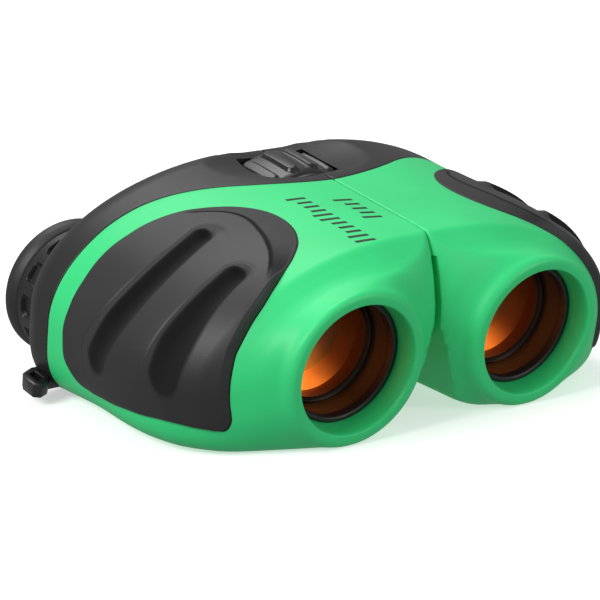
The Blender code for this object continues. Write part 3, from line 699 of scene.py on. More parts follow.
def polar_radius(points, bearing, closed):
    """The radius of an outline round the grip's middle, at an array of bearings."""
    offsets = np.array(points) - np.array(GRIP_MIDDLE)
    bearings = np.arctan2(offsets[:, 1], offsets[:, 0])
    radii = np.hypot(offsets[:, 0], offsets[:, 1])
    order = np.argsort(bearings)
    bearings, radii = bearings[order], radii[order]
    if not closed:
        return np.where((bearing > bearings[0]) & (bearing < bearings[-1]),
                        smooth_value(tuple(zip(bearings, radii)), bearing), np.inf)
    turn = 2 * math.pi
    bearings = np.concatenate([bearings - turn, bearings, bearings + turn])
    return smooth_value(tuple(zip(bearings, np.tile(radii, 3))), bearing)


def at_radius(radius):
    """Points (y, up the slope) of the grip's plane, one at each bearing."""
    return np.stack([GRIP_MIDDLE[0] + radius * np.cos(BEARINGS),
                     GRIP_MIDDLE[1] + radius * np.sin(BEARINGS)], axis=1)


def on_flank(flat, height=0.0):
    """Points over the skin by a height, or inside it, for points (y, up the slope) of the grip's plane."""
    start = flat[:, 1:] * UP_SLOPE + ACROSS * PLANE_OUT
    start[:, 1] = flat[:, 0]
    on_skin = reach_skin(start, np.tile(ACROSS, (len(flat), 1)))
    inward = section_middle(flat[:, 0]) - on_skin
    inward /= np.linalg.norm(inward, axis=1)[:, None]
    height = np.broadcast_to(height, len(flat))[:, None]
    return on_skin + np.where(height > 0, ACROSS, -inward) * height


outline_radius = polar_radius(GRIP_OUTLINE, BEARINGS, closed=True)
crease_radius = np.minimum(polar_radius(CREASE, BEARINGS, closed=False),
                           outline_radius - THINNEST_FLANK)
print("grip outline spans", round(outline_radius.min(), 1), "to", round(outline_radius.max(), 1), "mm")

# %% [markdown]
# ## Front shells
# Each green shell is one thin-walled moulding from the barrel's bore to the joint with the black
# housing. The loft starts in the bore, runs forward through the funnel, turns over the rounded
# rim and goes back over the case. Its last outer rings follow the curved joint line, so that the
# edge is clean without any cutting, and from there it runs forward again along the inside of the
# wall and closes on its first ring. The grip's seat and the slot beside the seam are then cut, the
# hinge's knuckles are added in turn with room for the other half's, and the hinge tube's channel
# is bored through them.

# %% Joint line between shell and housing
PARTING = ((0, 42.8), (5.4, 43.4), (11.5, 44.8), (17.6, 47.4), (22.9, 50.5), (28.2, 53.4),
           (33.6, 55.8), (39.6, 57.4), (46, 58.0), (62, 58.0))
LIP_R = 0.25


def joint_ring(share, flat_y, grow=0.0, shift=0.0):
    """A ring of the skin, a share of the way from a flat section to the joint line."""
    y = np.full(COLUMNS, float(flat_y))
    for _ in range(4):
        points = skin(y, ANGLES, grow)
        y = flat_y + (smooth_value(PARTING, points[:, 0]) + shift - flat_y) * share
    return skin(y, ANGLES, grow)


def to_pole(ring, place):
    """A ring gathered into one point, which closes a tube's end."""
    return np.tile(np.array(place, float), (len(ring), 1))


# %% Grip seat cutter
SEAT_GAP = 0.22
SEAT_DEPTH = 1.0


def grip_slab(radius, low, high):
    """A closed pad over the flank between two heights over the skin, with a polar outline."""
    shares = np.concatenate([[0.0], np.linspace(0.08, 1.0, 24)])
    rings = [on_flank(at_radius(share * radius), high) for share in shares]
    rings += [on_flank(at_radius(share * radius), low) for share in shares[::-1]]
    return wrapped_grid(rings)


# %% Front shell loft
WALL = 2.4
MOUTH_R = 13.5
BORE_R = 13.0
FUNNEL_Y = 4.9
FRONT_WALL_Y = 10.0
RIM_ROUND = 1.4
SLOT_HALF_WIDTH = 0.8
SLOT_TOP = 16.9
SLOT_BACK = 15.0
KNUCKLES = {"right": ((9.5, 14.0), (39.3, 42.3)), "left": ((14.3, 19.0), (36.0, 39.0))}
HINGE_ROOMS = {"right": ((14.15, 39.15),), "left": ((9.3, 14.15), (19.1, 35.9), (39.15, 47.0))}
KNUCKLE_R = 6.5
KNUCKLE_ROOM = 0.4
TUBE_R = 4.0
TUBE_ROOM = 0.3
CHANNEL_Y = (8.7, 48.0)
MOUTH_ROUND = 0.35


def front_shell(name):
    """One green shell, from the bore out over the rim, back to the joint line and forward inside."""
    rings = [circle_ring(BORE_R, y) for y in (FRONT_WALL_Y, 8.0, FUNNEL_Y + 0.1)]
    rings += [circle_ring(BORE_R + (MOUTH_R - BORE_R) * t, FUNNEL_Y * (1 - t) + 0.1 * t)
              for t in np.linspace(0.0, 0.94, 10)]
    for turn in np.linspace(0, math.pi / 2, 5):
        rings.append(circle_ring(MOUTH_R + MOUTH_ROUND * (1 - math.cos(turn)),
                                 MOUTH_ROUND * (1 - math.sin(turn))))
    for turn in np.linspace(0, math.pi / 2, 7):
        rings.append(skin(np.full(COLUMNS, RIM_ROUND * (1 - math.cos(turn))), ANGLES,
                          -RIM_ROUND * (1 - math.sin(turn))))
    stations = np.concatenate([np.arange(2.0, 13.0, 0.5), np.arange(13.0, BODY_Y, 1.0)])
    rings += [skin(np.full(COLUMNS, y), ANGLES) for y in stations]
    rings += [joint_ring(share, BODY_Y, shift=-LIP_R) for share in np.linspace(0, 1, 30)]
    for turn in np.linspace(0, math.pi / 2, 4)[1:]:
        rings.append(joint_ring(1.0, BODY_Y, -LIP_R * (1 - math.cos(turn)), -LIP_R * (1 - math.sin(turn))))
    rings += [joint_ring(share, BODY_Y, -WALL) for share in (1.0, 0.66, 0.33, 0.0)]
    rings += [skin(np.full(COLUMNS, y), ANGLES, -WALL) for y in (16.0, 12.0, FRONT_WALL_Y)]
    rings.append(rings[0].copy())
    shell = wrapped_grid(rings)
    shell = apply_cut(shell, grip_slab(outline_radius + SEAT_GAP, -SEAT_DEPTH, 3.0))
    shell = apply_cut(shell, block((-5.0, -1.0, -30.0), (SLOT_HALF_WIDTH, SLOT_BACK, SLOT_TOP)))
    for front, back in HINGE_ROOMS[name]:
        shell = apply_cut(shell, cylinder(KNUCKLE_R + KNUCKLE_ROOM, front, back, (0, HINGE_Z)))
    for front, back in KNUCKLES[name]:
        shell = apply_cut(shell, cylinder(KNUCKLE_R, front, back, (0, HINGE_Z)), "UNION")
    return apply_cut(shell, cylinder(TUBE_R + TUBE_ROOM, *CHANNEL_Y, (0, HINGE_Z)))


for side_name in SIDES:
    shell_mesh = front_shell(side_name)
    shell_piece = finish_piece(f"{side_name}_case_front", shell_mesh, side_name, f"{side_name}_half",
                               green_case, (f"{side_name}_front_shell",))
    print(shell_piece.name, len(shell_piece.data.polygons), "faces")

# %% [markdown]
# ## Rear housings
# The black housing carries the section on from the joint line and rounds it off at the back. A
# shallow saddle is pressed into its top, so that a fingertip finds the wheel: wherever the skin
# stands above the saddle's cap, it is brought down to it. The wheel's well and the passage of the
# hinge tube are cut after that. A short neck is then added for the eyepiece, and its bore is cut.

# %% Wheel saddle
WHEEL_R = 15.0
WHEEL_RIB = 0.75
WHEEL_Y = (51.0, 65.5)
SADDLE_Y = 60.0
SADDLE_DEPTH = 3.4
SADDLE_HALF_WIDTH = 21.0
SADDLE_HALF_LENGTH = 14.3


def press_saddle(rings, below=0.0):
    """Lowers every point that stands above the saddle's cap, or above a surface that far below it."""
    radius = (SADDLE_HALF_WIDTH**2 + SADDLE_DEPTH**2) / (2 * SADDLE_DEPTH)
    lowest = TOP[-1][1] - SADDLE_DEPTH - below
    for ring in rings:
        along = (ring[:, 1] - SADDLE_Y) * SADDLE_HALF_WIDTH / SADDLE_HALF_LENGTH
        reach = np.clip(ring[:, 0]**2 + along**2, 0, 0.9 * radius**2)
        ring[:, 2] = np.minimum(ring[:, 2], lowest + radius - np.sqrt(radius**2 - reach))
    return rings


# %% Rear housing loft
JOINT_GAP = 0.12
EYE_TUBE_R = 10.4
EYE_RING_R = 14.6
NECK_R = 13.4
NECK_Y = (69.0, 75.0)
WELL_GAP = 0.35
HOUSING_Y = 62.5
PASSAGE_ROOM = 1.0
PASSAGE_FRONT = 40.0
EYE_BORE_ROOM = 0.2
EYE_BORE_Y = (58.0, 77.0)


def rear_housing():
    """One black housing: along the inside of its wall to the joint line, then outside to the flat back."""
    inner_middle = np.array((EYE_X, REAR_Y - WALL, EYE_Z))
    inside = [skin(np.full(COLUMNS, y), ANGLES, -WALL) for y in (REAR_Y - WALL, 68.0, 65.0)]
    inside = [to_pole(ANGLES, inner_middle), inner_middle + (inside[0] - inner_middle) * 0.7] + inside
    inside += [joint_ring(share, HOUSING_Y, -WALL, JOINT_GAP) for share in np.linspace(0, 1, 10)]
    outside = []
    for turn in np.linspace(0, math.pi / 2, 4):
        shift = JOINT_GAP + LIP_R * (1 - math.cos(turn))
        outside.append(joint_ring(1.0, HOUSING_Y, -LIP_R * (1 - math.sin(turn)), shift))
    outside += [joint_ring(share, HOUSING_Y, shift=JOINT_GAP + LIP_R) for share in np.linspace(1, 0, 26)[1:]]
    for turn in np.linspace(0, math.pi / 2, 14)[1:]:
        outside.append(skin(np.full(COLUMNS, REAR_Y - REAR_R + REAR_R * math.sin(turn)), ANGLES))
    outside = press_saddle(outside)
    flat_middle = np.array((EYE_X, REAR_Y, EYE_Z))
    outside += [flat_middle + (outside[-1] - flat_middle) * share for share in (0.85, 0.7)]
    outside.append(to_pole(ANGLES, flat_middle))
    housing = wrapped_grid(press_saddle(inside, WALL) + outside)
    front, back = WHEEL_Y
    well = cylinder(WHEEL_R + WHEEL_RIB + WELL_GAP, front - WELL_GAP, back + WELL_GAP, (0, HINGE_Z), 128)
    housing = apply_cut(housing, well)
    housing = apply_cut(housing, cylinder(TUBE_R + PASSAGE_ROOM, PASSAGE_FRONT, front, (0, HINGE_Z), 48))
    housing = apply_cut(housing, cylinder(NECK_R, *NECK_Y, (EYE_X, EYE_Z)), "UNION")
    return apply_cut(housing, cylinder(EYE_TUBE_R + EYE_BORE_ROOM, *EYE_BORE_Y, (EYE_X, EYE_Z)))


for side_name in SIDES:
    housing_piece = finish_piece(f"{side_name}_case_rear", rear_housing(), side_name, f"{side_name}_half",
                                 black_housing, (f"{side_name}_rear_housing",))
    print(housing_piece.name, len(housing_piece.data.polygons), "faces")

# %% [markdown]
# ## Rubber grips
# The grip is a closed pad that follows the flank. Its face stands about two millimetres proud
# inside a curved crease, falls away beyond the crease as a bevelled flank, and runs down almost
# flush at the back. Two scoops cross the face. Each is a long hollow, wider at its round lower
# end, with a raised lip along its back that a finger pulls against.

# %% Relief of the grip
PAD_HIGH = 1.9
PAD_LOW = 0.55
SINK_BACK = (22.0, 30.0)
SINK_LOW = (34.0, 12.0)
SINK_LOW_SHARE = 0.6
FLANK_FOOT = 0.35
EDGE_R = 0.45
LINE_WIDTH = 0.5
LINE_RELIEF = ((0.1, 0.25), (0.22, 0.42), (0.34, 0.4), (0.5, 0.25))
SCOOP_DEPTH = 0.95
LIP_HEIGHT = 1.0
LIP_LINE = (0.16, 0.22)
LIP_POWER = 1.4
LIP_FADE = (0.85, 0.7)
HOLLOW_POWER = 1.5
BLUNT_END = 1.2
SHADE_REACH = 1.22
SHADE_SOFTNESS = 0.4
LOW_SHADE = 0.8
UNDERSIDE_GAP = 0.1

# Each scoop: upper and lower end (y, up the slope), half-width at both ends, width of the lip, bow
SCOOPS = (((35.0, -11.0), (37.8, -41.6), 2.3, 3.1, 2.6, -2.8),
          ((19.0, -13.8), (18.4, -37.2), 2.2, 3.5, 1.7, -0.5))


def scoop_relief(flat, upper, lower, thin, thick, lip, bow):
    """The height that one scoop adds to the pad's face, and how far each point is inside its hollow."""
    upper, lower = np.array(upper), np.array(lower)
    length = np.hypot(*(lower - upper))
    spine = (lower - upper) / length
    along = (flat - upper) @ spine
    share = np.clip(along / length, 0, 1)
    off = (flat - upper) @ np.array((-spine[1], spine[0])) - bow * 4 * share * (1 - share)
    half = thin + (thick - thin) * ease(share)
    reach = np.hypot(off, np.clip(-along, 0, None) * BLUNT_END + np.clip(along - length, 0, None))
    bearing = off / np.maximum(reach, 0.01)
    behind = ease((bearing + np.where(along < 0, 0.9, 0.25)) / 0.8)
    beyond = (reach - half) / lip
    crest = np.where(beyond > 0, np.clip(1 - beyond, 0, 1)**LIP_POWER, ease((reach / half - 0.3) / 0.7))
    hollow = np.clip(1 - (reach / half)**2, 0, 1)**HOLLOW_POWER
    base_line = LIP_LINE[0] * np.exp(-((beyond - 1) * lip / LIP_LINE[1])**2)
    lip_share = 1 - LIP_FADE[0] * ease((share - LIP_FADE[1]) / (1 - LIP_FADE[1]))
    relief = behind * (LIP_HEIGHT * lip_share * crest - base_line) - SCOOP_DEPTH * hollow
    return relief, ease((SHADE_REACH - reach / half) / SHADE_SOFTNESS)


def face_height(flat):
    """The height of the pad's face over the case, without its scoops: it sinks to the back and the foot."""
    back = ease((flat[:, 0] - SINK_BACK[0]) / SINK_BACK[1])
    low = ease((-flat[:, 1] - SINK_LOW[0]) / SINK_LOW[1])
    return PAD_HIGH + (PAD_LOW - PAD_HIGH) * np.maximum(back, SINK_LOW_SHARE * low)


# %% Parts of the grip pad
def face_rings():
    """The pad's face from its middle out to the crease: rings, and how shaded each point is."""
    rings, shades = [], []
    for share in np.concatenate([[0.0], np.linspace(0.01, 1.0, 112)]):
        flat = at_radius(share * crease_radius)
        height = face_height(flat)
        shade = np.zeros(len(flat))
        for scoop in SCOOPS:
            # Painted shade: points inside a scoop's hollow are darkened through the shade attribute.
            relief, inside = scoop_relief(flat, *scoop)
            height = height + relief
            shade = np.maximum(shade, inside)
        rings.append(on_flank(flat, height))
        shades.append(shade)
    return rings, shades


def flank_rings(wide):
    """The thin line of the crease, then the flank down to the pad's edge, where the flank is wide."""
    flank_width = outline_radius - EDGE_R - crease_radius
    start = np.minimum(LINE_WIDTH, flank_width * 0.5)
    steps = [(start * out / LINE_WIDTH, drop, 0.0) for out, drop in LINE_RELIEF]
    for fall in np.linspace(0.1, 1, 9):
        steps.append((start + (flank_width - start) * fall, LINE_RELIEF[-1][1] * (1 - fall), fall))
    rings, shades = [], []
    for out, drop, fall in steps:
        flat = at_radius(crease_radius + out)
        height = face_height(flat)
        rings.append(on_flank(flat, height - wide * (drop + (height - FLANK_FOOT) * fall)))
        # Painted shade: the crease line and the lower part of the flank are darkened through the shade attribute.
        line_shade = 1.0 if fall == 0 else 0.0
        shades.append(wide * np.maximum(line_shade, LOW_SHADE * ease((-flat[:, 1] - 2.0) / 9.0)))
    return rings, shades


def edge_rings(wide):
    """The pad's rounded edge and its underside, which lies just over the bottom of the seat."""
    rings = []
    for turn in np.linspace(0, math.pi / 2, 6)[1:]:
        flat = at_radius(outline_radius - EDGE_R * (1 - math.sin(turn)))
        height = face_height(flat)
        height = height - wide * (height - FLANK_FOOT) - EDGE_R * (1 - math.cos(turn))
        rings.append(on_flank(flat, height))
    for share in (1.0, 0.6, 0.0):
        rings.append(on_flank(at_radius(share * outline_radius), UNDERSIDE_GAP - SEAT_DEPTH))
    return rings, [np.zeros(len(BEARINGS))] * len(rings)


# %% Grip pads
def grip_pad():
    """The closed rubber pad of one side, with its scoops and its crease."""
    wide = ease((outline_radius - EDGE_R - crease_radius - 0.5) / 1.5)
    rings, shades = [], []
    for part_rings, part_shades in (face_rings(), flank_rings(wide), edge_rings(wide)):
        rings += part_rings
        shades += part_shades
    return wrapped_grid(rings, shades)


for side_name in SIDES:
    pad_piece = finish_piece(f"{side_name}_rubber_grip", grip_pad(), side_name, f"{side_name}_half",
                             grip_rubber, (f"{side_name}_grip",), sharp=60)
    print(pad_piece.name, len(pad_piece.data.polygons), "faces")

# %% [markdown]
# ## Turned pieces
# Rings, tubes, cups and lenses are bodies of revolution about an optical axis. Their profile is
# drawn as radius and distance behind the rim, and `spin` turns it a full circle with `use_merge`,
# so that the seam closes. Where the profile touches the axis, the doubled points are merged.

# %% Spin a profile
ROUND_STEPS = 96


def spun(profile, axis, closed=True):
    """A turned piece about an axis along Y; a profile that starts and ends on the axis isn't closed."""
    bm = bmesh.new()
    verts = [bm.verts.new((axis[0] + radius, y, axis[1])) for radius, y in profile]
    edges = [bm.edges.new(pair) for pair in zip(verts, verts[1:] + (verts[:1] if closed else []))]
    bmesh.ops.spin(bm, geom=verts + edges, cent=(axis[0], 0, axis[1]), axis=(0, 1, 0), dvec=(0, 0, 0),
                   angle=2 * math.pi, steps=ROUND_STEPS, use_merge=True, use_duplicate=False)
    bmesh.ops.remove_doubles(bm, verts=bm.verts, dist=0.0005)
    bmesh.ops.recalc_face_normals(bm, faces=bm.faces)
    return bm


def rounded(corners, radius, steps=4):
    """A closed profile with each corner turned into a short arc."""
    points = []
    for before, here, after in zip(corners[-1:] + corners[:-1], corners, corners[1:] + corners[:1]):
        here, into, out = Vector(here), Vector(before), Vector(after)
        cut = min(radius, (into - here).length * 0.45, (out - here).length * 0.45)
        start = here + (into - here).normalized() * cut
        end = here + (out - here).normalized() * cut
        for step in range(steps + 1):
            t = step / steps
            points.append(tuple(start * (1 - t)**2 + here * 2 * t * (1 - t) + end * t**2))
    return points


# %% [markdown]
# ## Objective ends
# Looking into a barrel one sees, from the front: a black trim ring, the blackened tube with fine
# anti-glare grooves, the lens ring, the coated lens, and behind it a cone that narrows to the
# second element. Coated glass throws light round inside the cell many times, which makes one side
# glow. That would take very long to trace, so the glow is painted light: a weak emission of the
# cone and the second element. It is painted on the pieces themselves: their shade attribute is 0
# on the lit side and 1 on the shaded side, and the tube's brown is a painted reflection that fades
# upward in the same way, with painted shade above.

# %% Glow of the coating
def coating_glow(name, lit, shaded, strength):
    """A glossy piece with a painted glow in the coating's colour where the shade attribute is 0, dim and painted
    dark where it is 1.
    """
    made = bpy.data.materials.new(name)
    made.use_nodes = True
    tree = made.node_tree
    tree.nodes.clear()

    output = tree.nodes.new("ShaderNodeOutputMaterial")
    output.label = "surface"
    output.location = (700, 0)
    polish = tree.nodes.new("ShaderNodeBsdfPrincipled")
    polish.label = "polished element"
    polish.location = (400, 0)
    polish.inputs["Roughness"].default_value = 0.25
    polish.inputs["Coat Weight"].default_value = 0.5
    polish.inputs["Emission Color"].default_value = (*lit, 1)
    tree.links.new(polish.outputs["BSDF"], output.inputs["Surface"])

    side_frame = tree.nodes.new("NodeFrame")
    side_frame.label = "lit side to shaded side"
    side = tree.nodes.new("ShaderNodeAttribute")
    side.label = "how far into the shade"
    side.location = (-600, 0)
    side.parent = side_frame
    side.attribute_name = "painted_shade"
    colour = tree.nodes.new("ShaderNodeMix")
    colour.label = "amber to deep brown"
    colour.data_type = "RGBA"
    colour.location = (-100, 150)
    colour.parent = side_frame
    colour.inputs["A"].default_value = (*lit, 1)
    colour.inputs["B"].default_value = (*shaded, 1)
    fade = tree.nodes.new("ShaderNodeMapRange")
    fade.label = "the glow fades out"
    fade.interpolation_type = "SMOOTHERSTEP"
    fade.location = (-350, -150)
    fade.parent = side_frame
    fade.inputs["From Max"].default_value = 0.75
    fade.inputs["To Min"].default_value = strength
    fade.inputs["To Max"].default_value = 0.0

    # The noise makes the painted glow uneven.
    streak_frame = tree.nodes.new("NodeFrame")
    streak_frame.label = "streaks of the coating"
    place = tree.nodes.new("ShaderNodeTexCoord")
    place.label = "place on the object"
    place.location = (-850, -400)
    streaks = tree.nodes.new("ShaderNodeTexNoise")
    streaks.label = "uneven coating"
    streaks.location = (-600, -400)
    streaks.parent = streak_frame
    streaks.inputs["Scale"].default_value = 260.0
    vary = tree.nodes.new("ShaderNodeMath")
    vary.label = "vary the glow"
    vary.operation = "MULTIPLY"
    vary.location = (100, -250)
    vary.parent = streak_frame
    spread = tree.nodes.new("ShaderNodeMapRange")
    spread.label = "between dim and full"
    spread.location = (-350, -400)
    spread.parent = streak_frame
    spread.inputs["To Min"].default_value = 0.6
    spread.inputs["To Max"].default_value = 1.3
    tree.links.new(side.outputs["Fac"], colour.inputs["Factor"])
    tree.links.new(side.outputs["Fac"], fade.inputs["Value"])
    tree.links.new(place.outputs["Object"], streaks.inputs["Vector"])
    tree.links.new(streaks.outputs["Fac"], spread.inputs["Value"])
    tree.links.new(fade.outputs["Result"], vary.inputs[0])
    tree.links.new(spread.outputs["Result"], vary.inputs[1])
    tree.links.new(colour.outputs["Result"], polish.inputs["Base Color"])
    tree.links.new(vary.outputs["Value"], polish.inputs["Emission Strength"])
    return made


# %% Trim ring and blackened tube
BARREL_AXIS = (BARREL_X, 0.0)
TUBE_INNER_R = 12.05
TUBE_Y = (7.1, 16.0)
TUBE_GROOVES = 9
LOWEST = -math.pi / 2


def shade_round(bm, axis, lit):
    """Paints shade on a turned piece through its shade attribute: 0 at the lit bearing and 1 opposite, as painted
    light and shade.
    """
    painted_shade = bm.verts.layers.float.new("painted_shade")
    for vert in bm.verts:
        across, upward = vert.co.x - axis[0], vert.co.z - axis[1]
        reach = math.hypot(across, upward) / BORE_R
        vert[painted_shade] = 0.5 - 0.5 * min(1.0, 1.4 * reach) * math.cos(math.atan2(upward, across) - lit)
    return bm


def trim_and_tube(side_name):
    """The black ring in the funnel and the grooved tube behind it, both fixed in the case."""
    half = f"{side_name}_half"
    trim = rounded([(12.9, 5.0), (12.9, 7.0), (11.8, 7.0), (11.8, 5.3), (12.1, 5.0)], 0.15)
    finish_piece(f"{side_name}_trim_ring", spun(trim, BARREL_AXIS), side_name, half,
                 trim_black, (f"{side_name}_barrel_ring",))
    front, back = TUBE_Y
    profile = [(12.7, back), (12.7, front)]
    for groove in range(TUBE_GROOVES):
        y = front + groove * (back - front) / TUBE_GROOVES
        profile += [(TUBE_INNER_R, y), (TUBE_INNER_R, y + 0.55), (TUBE_INNER_R + 0.15, y + 0.7)]
    profile.append((TUBE_INNER_R, back))
    # Painted light and shade: the tube's brown is lit at the bottom and painted dark above.
    tube = shade_round(spun(profile, BARREL_AXIS), BARREL_AXIS, LOWEST)
    finish_piece(f"{side_name}_grooved_tube", tube, side_name, half,
                 blackened_tube, (f"{side_name}_barrel_tube",))


# %% Lens cell, lens ring and lens
LENS_R = 10.5
LENS_Y = (13.6, 14.8)
LENS_BULGE = (1.1, 0.4)


def cell_and_lens(side_name):
    """The cell that the focus arm slides, with the ring that holds its lens."""
    carrier = f"{side_name}_objective"
    profile = [(11.7, 12.3), (11.7, 19.5), (10.0, 19.5), (10.0, 17.4), (10.6, 17.4), (10.6, 12.3)]
    # Painted light and shade on the cell, as on the tube.
    cell = shade_round(spun(rounded(profile, 0.15), BARREL_AXIS), BARREL_AXIS, LOWEST)
    finish_piece(f"{side_name}_lens_cell", cell, side_name, carrier,
                 blackened_tube, (f"{side_name}_objective_cell",))
    bezel = rounded([(11.4, 11.4), (11.4, 12.3), (LENS_R, 12.3), (LENS_R, 12.0), (11.1, 11.4)], 0.12)
    finish_piece(f"{side_name}_lens_bezel", spun(bezel, BARREL_AXIS), side_name, carrier,
                 lens_ring_metal, (f"{side_name}_cell_ring",))
    front_curve = [(LENS_R * t, LENS_Y[0] - LENS_BULGE[0] * (1 - t * t)) for t in np.linspace(0, 1, 12)]
    back_curve = [(LENS_R * t, LENS_Y[1] + LENS_BULGE[1] * (1 - t * t)) for t in np.linspace(1, 0, 12)]
    lens = spun(front_curve + back_curve, BARREL_AXIS, closed=False)
    finish_piece(f"{side_name}_coated_lens", lens, side_name, carrier, ruby_coating,
                 (f"{side_name}_objective_lens",))


# %% Amber cone and second element
LIT_BEARING = math.radians(-150)
ELEMENT_R = 7.9
# Both glow as painted light on their lit side and are painted dark on the other.
amber_cone = coating_glow("amber_cone", (0.95, 0.42, 0.10), (0.05, 0.010, 0.008), 2.2)
olive_element = coating_glow("olive_element", (0.80, 0.48, 0.12), (0.12, 0.105, 0.065), 1.5)


def cone_and_element(side_name):
    """What shows behind the lens. A right piece is mirrored later, so its lit side is mirrored first."""
    carrier = f"{side_name}_objective"
    lit = LIT_BEARING if side_name == "left" else math.pi - LIT_BEARING
    cone = rounded([(LENS_R, 15.3), (ELEMENT_R, 17.9), (ELEMENT_R, 18.6), (LENS_R, 18.6)], 0.1)
    # Painted light and shade round the cone and the element.
    cone = shade_round(spun(cone, BARREL_AXIS), BARREL_AXIS, lit)
    finish_piece(f"{side_name}_amber_cone", cone, side_name, carrier, amber_cone)
    element = [(0.0, 17.7), (4.0, 17.8), (ELEMENT_R, 18.2), (ELEMENT_R, 19.2), (0.0, 19.2)]
    element = shade_round(spun(element, BARREL_AXIS, closed=False), BARREL_AXIS, lit)
    finish_piece(f"{side_name}_second_element", element, side_name, carrier, olive_element)


# %% Objective ends
for side_name in SIDES:
    trim_and_tube(side_name)
    cell_and_lens(side_name)
    cone_and_element(side_name)
    print(side_name, "objective end: ring, tube, cell, lens ring, lens, cone and second element")

# %% [markdown]
# ## Eyepieces
# Behind each housing stands an eyepiece: a notched ring, a soft rubber cup with a rolled edge and
# the small eye lens deep inside. On the right the ring sets the dioptre and turns with the cup.
# The notches are pressed into a grid wrapped round the ring, open towards the housing.

# %% Notched ring
NOTCHES = 12
NOTCH_DEPTH = 0.9
NOTCH_HALF_WIDTH = 2.3
NOTCH_LENGTH = 3.9
NOTCH_CORNER = 0.9
NOTCH_FLANK = 0.35
EYE_AXIS = (EYE_X, EYE_Z)
RING_Y = (75.3, 81.3)
RING_EDGE = 0.5
RING_ROOM = 0.3
RING_ANGLES = np.linspace(0, 2 * math.pi, NOTCHES * 32 + 1)[:-1]


def notch_relief(y):
    """How deep the notches are cut at one distance along the ring, for every angle."""
    pitch = 2 * math.pi / NOTCHES
    off = (np.mod(RING_ANGLES + pitch / 2, pitch) - pitch / 2) * EYE_RING_R
    across = np.clip(np.abs(off) - (NOTCH_HALF_WIDTH - NOTCH_CORNER), 0, None)
    along = max(0.0, y - (RING_Y[0] + NOTCH_LENGTH - NOTCH_CORNER))
    return NOTCH_DEPTH * (1 - ease((np.hypot(across, along) - NOTCH_CORNER) / NOTCH_FLANK))


def notched_ring():
    """The finger ring: inner wall, rounded front edge, notched outside, rounded back edge."""
    front, back = RING_Y
    bore = EYE_TUBE_R + RING_ROOM
    rings = [circle_ring(bore, y, EYE_AXIS, RING_ANGLES) for y in (back, front)]
    for turn in np.linspace(0, math.pi / 2, 5)[::-1]:
        y = front + RING_EDGE * (1 - math.sin(turn))
        radius = EYE_RING_R - RING_EDGE * (1 - math.cos(turn)) - notch_relief(front)
        rings.append(circle_ring(radius, y, EYE_AXIS, RING_ANGLES))
    for y in np.linspace(front + RING_EDGE, back - RING_EDGE, 26)[1:]:
        rings.append(circle_ring(EYE_RING_R - notch_relief(y), y, EYE_AXIS, RING_ANGLES))
    rings.append(circle_ring(EYE_RING_R, back - 0.1, EYE_AXIS, RING_ANGLES))
    rings.append(circle_ring(EYE_RING_R - 0.1, back, EYE_AXIS, RING_ANGLES))
    rings.append(rings[0].copy())
    return wrapped_grid(rings)


# %% Finger ring and eyecup
EYECUP_R = 15.4
EYECUP_END = 86.0


def ring_and_cup(side_name):
    """The finger ring and the soft cup: the right ones turn together, the left ones are fixed."""
    body = "diopter" if side_name == "right" else "left_half"
    ring_node = "right_diopter_ring" if side_name == "right" else "left_eyepiece_ring"
    finish_piece(f"{side_name}_finger_ring", notched_ring(), side_name, body,
                 black_housing, (ring_node,))
    cup = rounded([(EYE_RING_R, 81.35), (EYECUP_R, 83.2), (EYECUP_R, 85.0), (EYECUP_R - 1.2, EYECUP_END),
                   (13.0, EYECUP_END), (12.3, 84.2), (11.9, 83.2), (9.2, 82.8), (9.2, 81.35)], 0.6)
    finish_piece(f"{side_name}_rubber_eyecup", spun(cup, EYE_AXIS), side_name, body,
                 grip_rubber, (f"{side_name}_eyecup",))


# %% Sleeve, lens cell and eye lens
SLEEVE_Y = (60.0, 81.0)
EYE_LENS_R = 7.7


def sleeve_and_lens(side_name):
    """The fixed sleeve, and the eye lens in its cell, which slides on the right side."""
    half = f"{side_name}_half"
    body = "right_eyepiece" if side_name == "right" else half
    front, back = SLEEVE_Y
    sleeve = rounded([(EYE_TUBE_R, front), (EYE_TUBE_R, back), (9.5, back), (9.5, front)], 0.15)
    finish_piece(f"{side_name}_eyepiece_sleeve", spun(sleeve, EYE_AXIS), side_name, half,
                 black_housing, (f"{side_name}_eyepiece_tube",))
    cell = rounded([(9.2, 61.5), (9.2, 79.5), (8.0, 79.5), (8.0, 62.3), (7.0, 62.3), (7.0, 61.5)], 0.12)
    finish_piece(f"{side_name}_eye_lens_cell", spun(cell, EYE_AXIS), side_name, body,
                 trim_black, (f"{side_name}_eyepiece_cell",))
    lens_front = [(EYE_LENS_R * t, 74.9 + 1.5 * t * t) for t in np.linspace(0, 1, 10)]
    lens_back = [(EYE_LENS_R, 78.0), (7.2, 78.4), (0.0, 78.6)]
    finish_piece(f"{side_name}_eye_glass", spun(lens_front + lens_back, EYE_AXIS, closed=False), side_name,
                 body, clear_glass, (f"{side_name}_eye_lens",))


# %% Eyepieces
for side_name in SIDES:
    ring_and_cup(side_name)
    sleeve_and_lens(side_name)
    print(side_name, "eyepiece: ring, cup, sleeve, lens cell and eye lens")

# %% [markdown]
# ## Focus wheel
# The wheel is a drum with raised bars along its rim, each rounded off at both ends, so that a
# fingertip grips it. The bars are relief on a fine wrapped grid, and the drum's faces close on
# its axis.

# %% Focus wheel
WHEEL_AXIS = (0.0, HINGE_Z)
WHEEL_RIBS = 18
WHEEL_CROWN = 0.35
WHEEL_EDGE = 1.3
BAR_HALF_LENGTH = 4.3
BAR_HALF_WIDTH = 0.9
BAR_FLANK = 0.75
WHEEL_ANGLES = np.linspace(0, 2 * math.pi, WHEEL_RIBS * 24 + 1)[:-1]


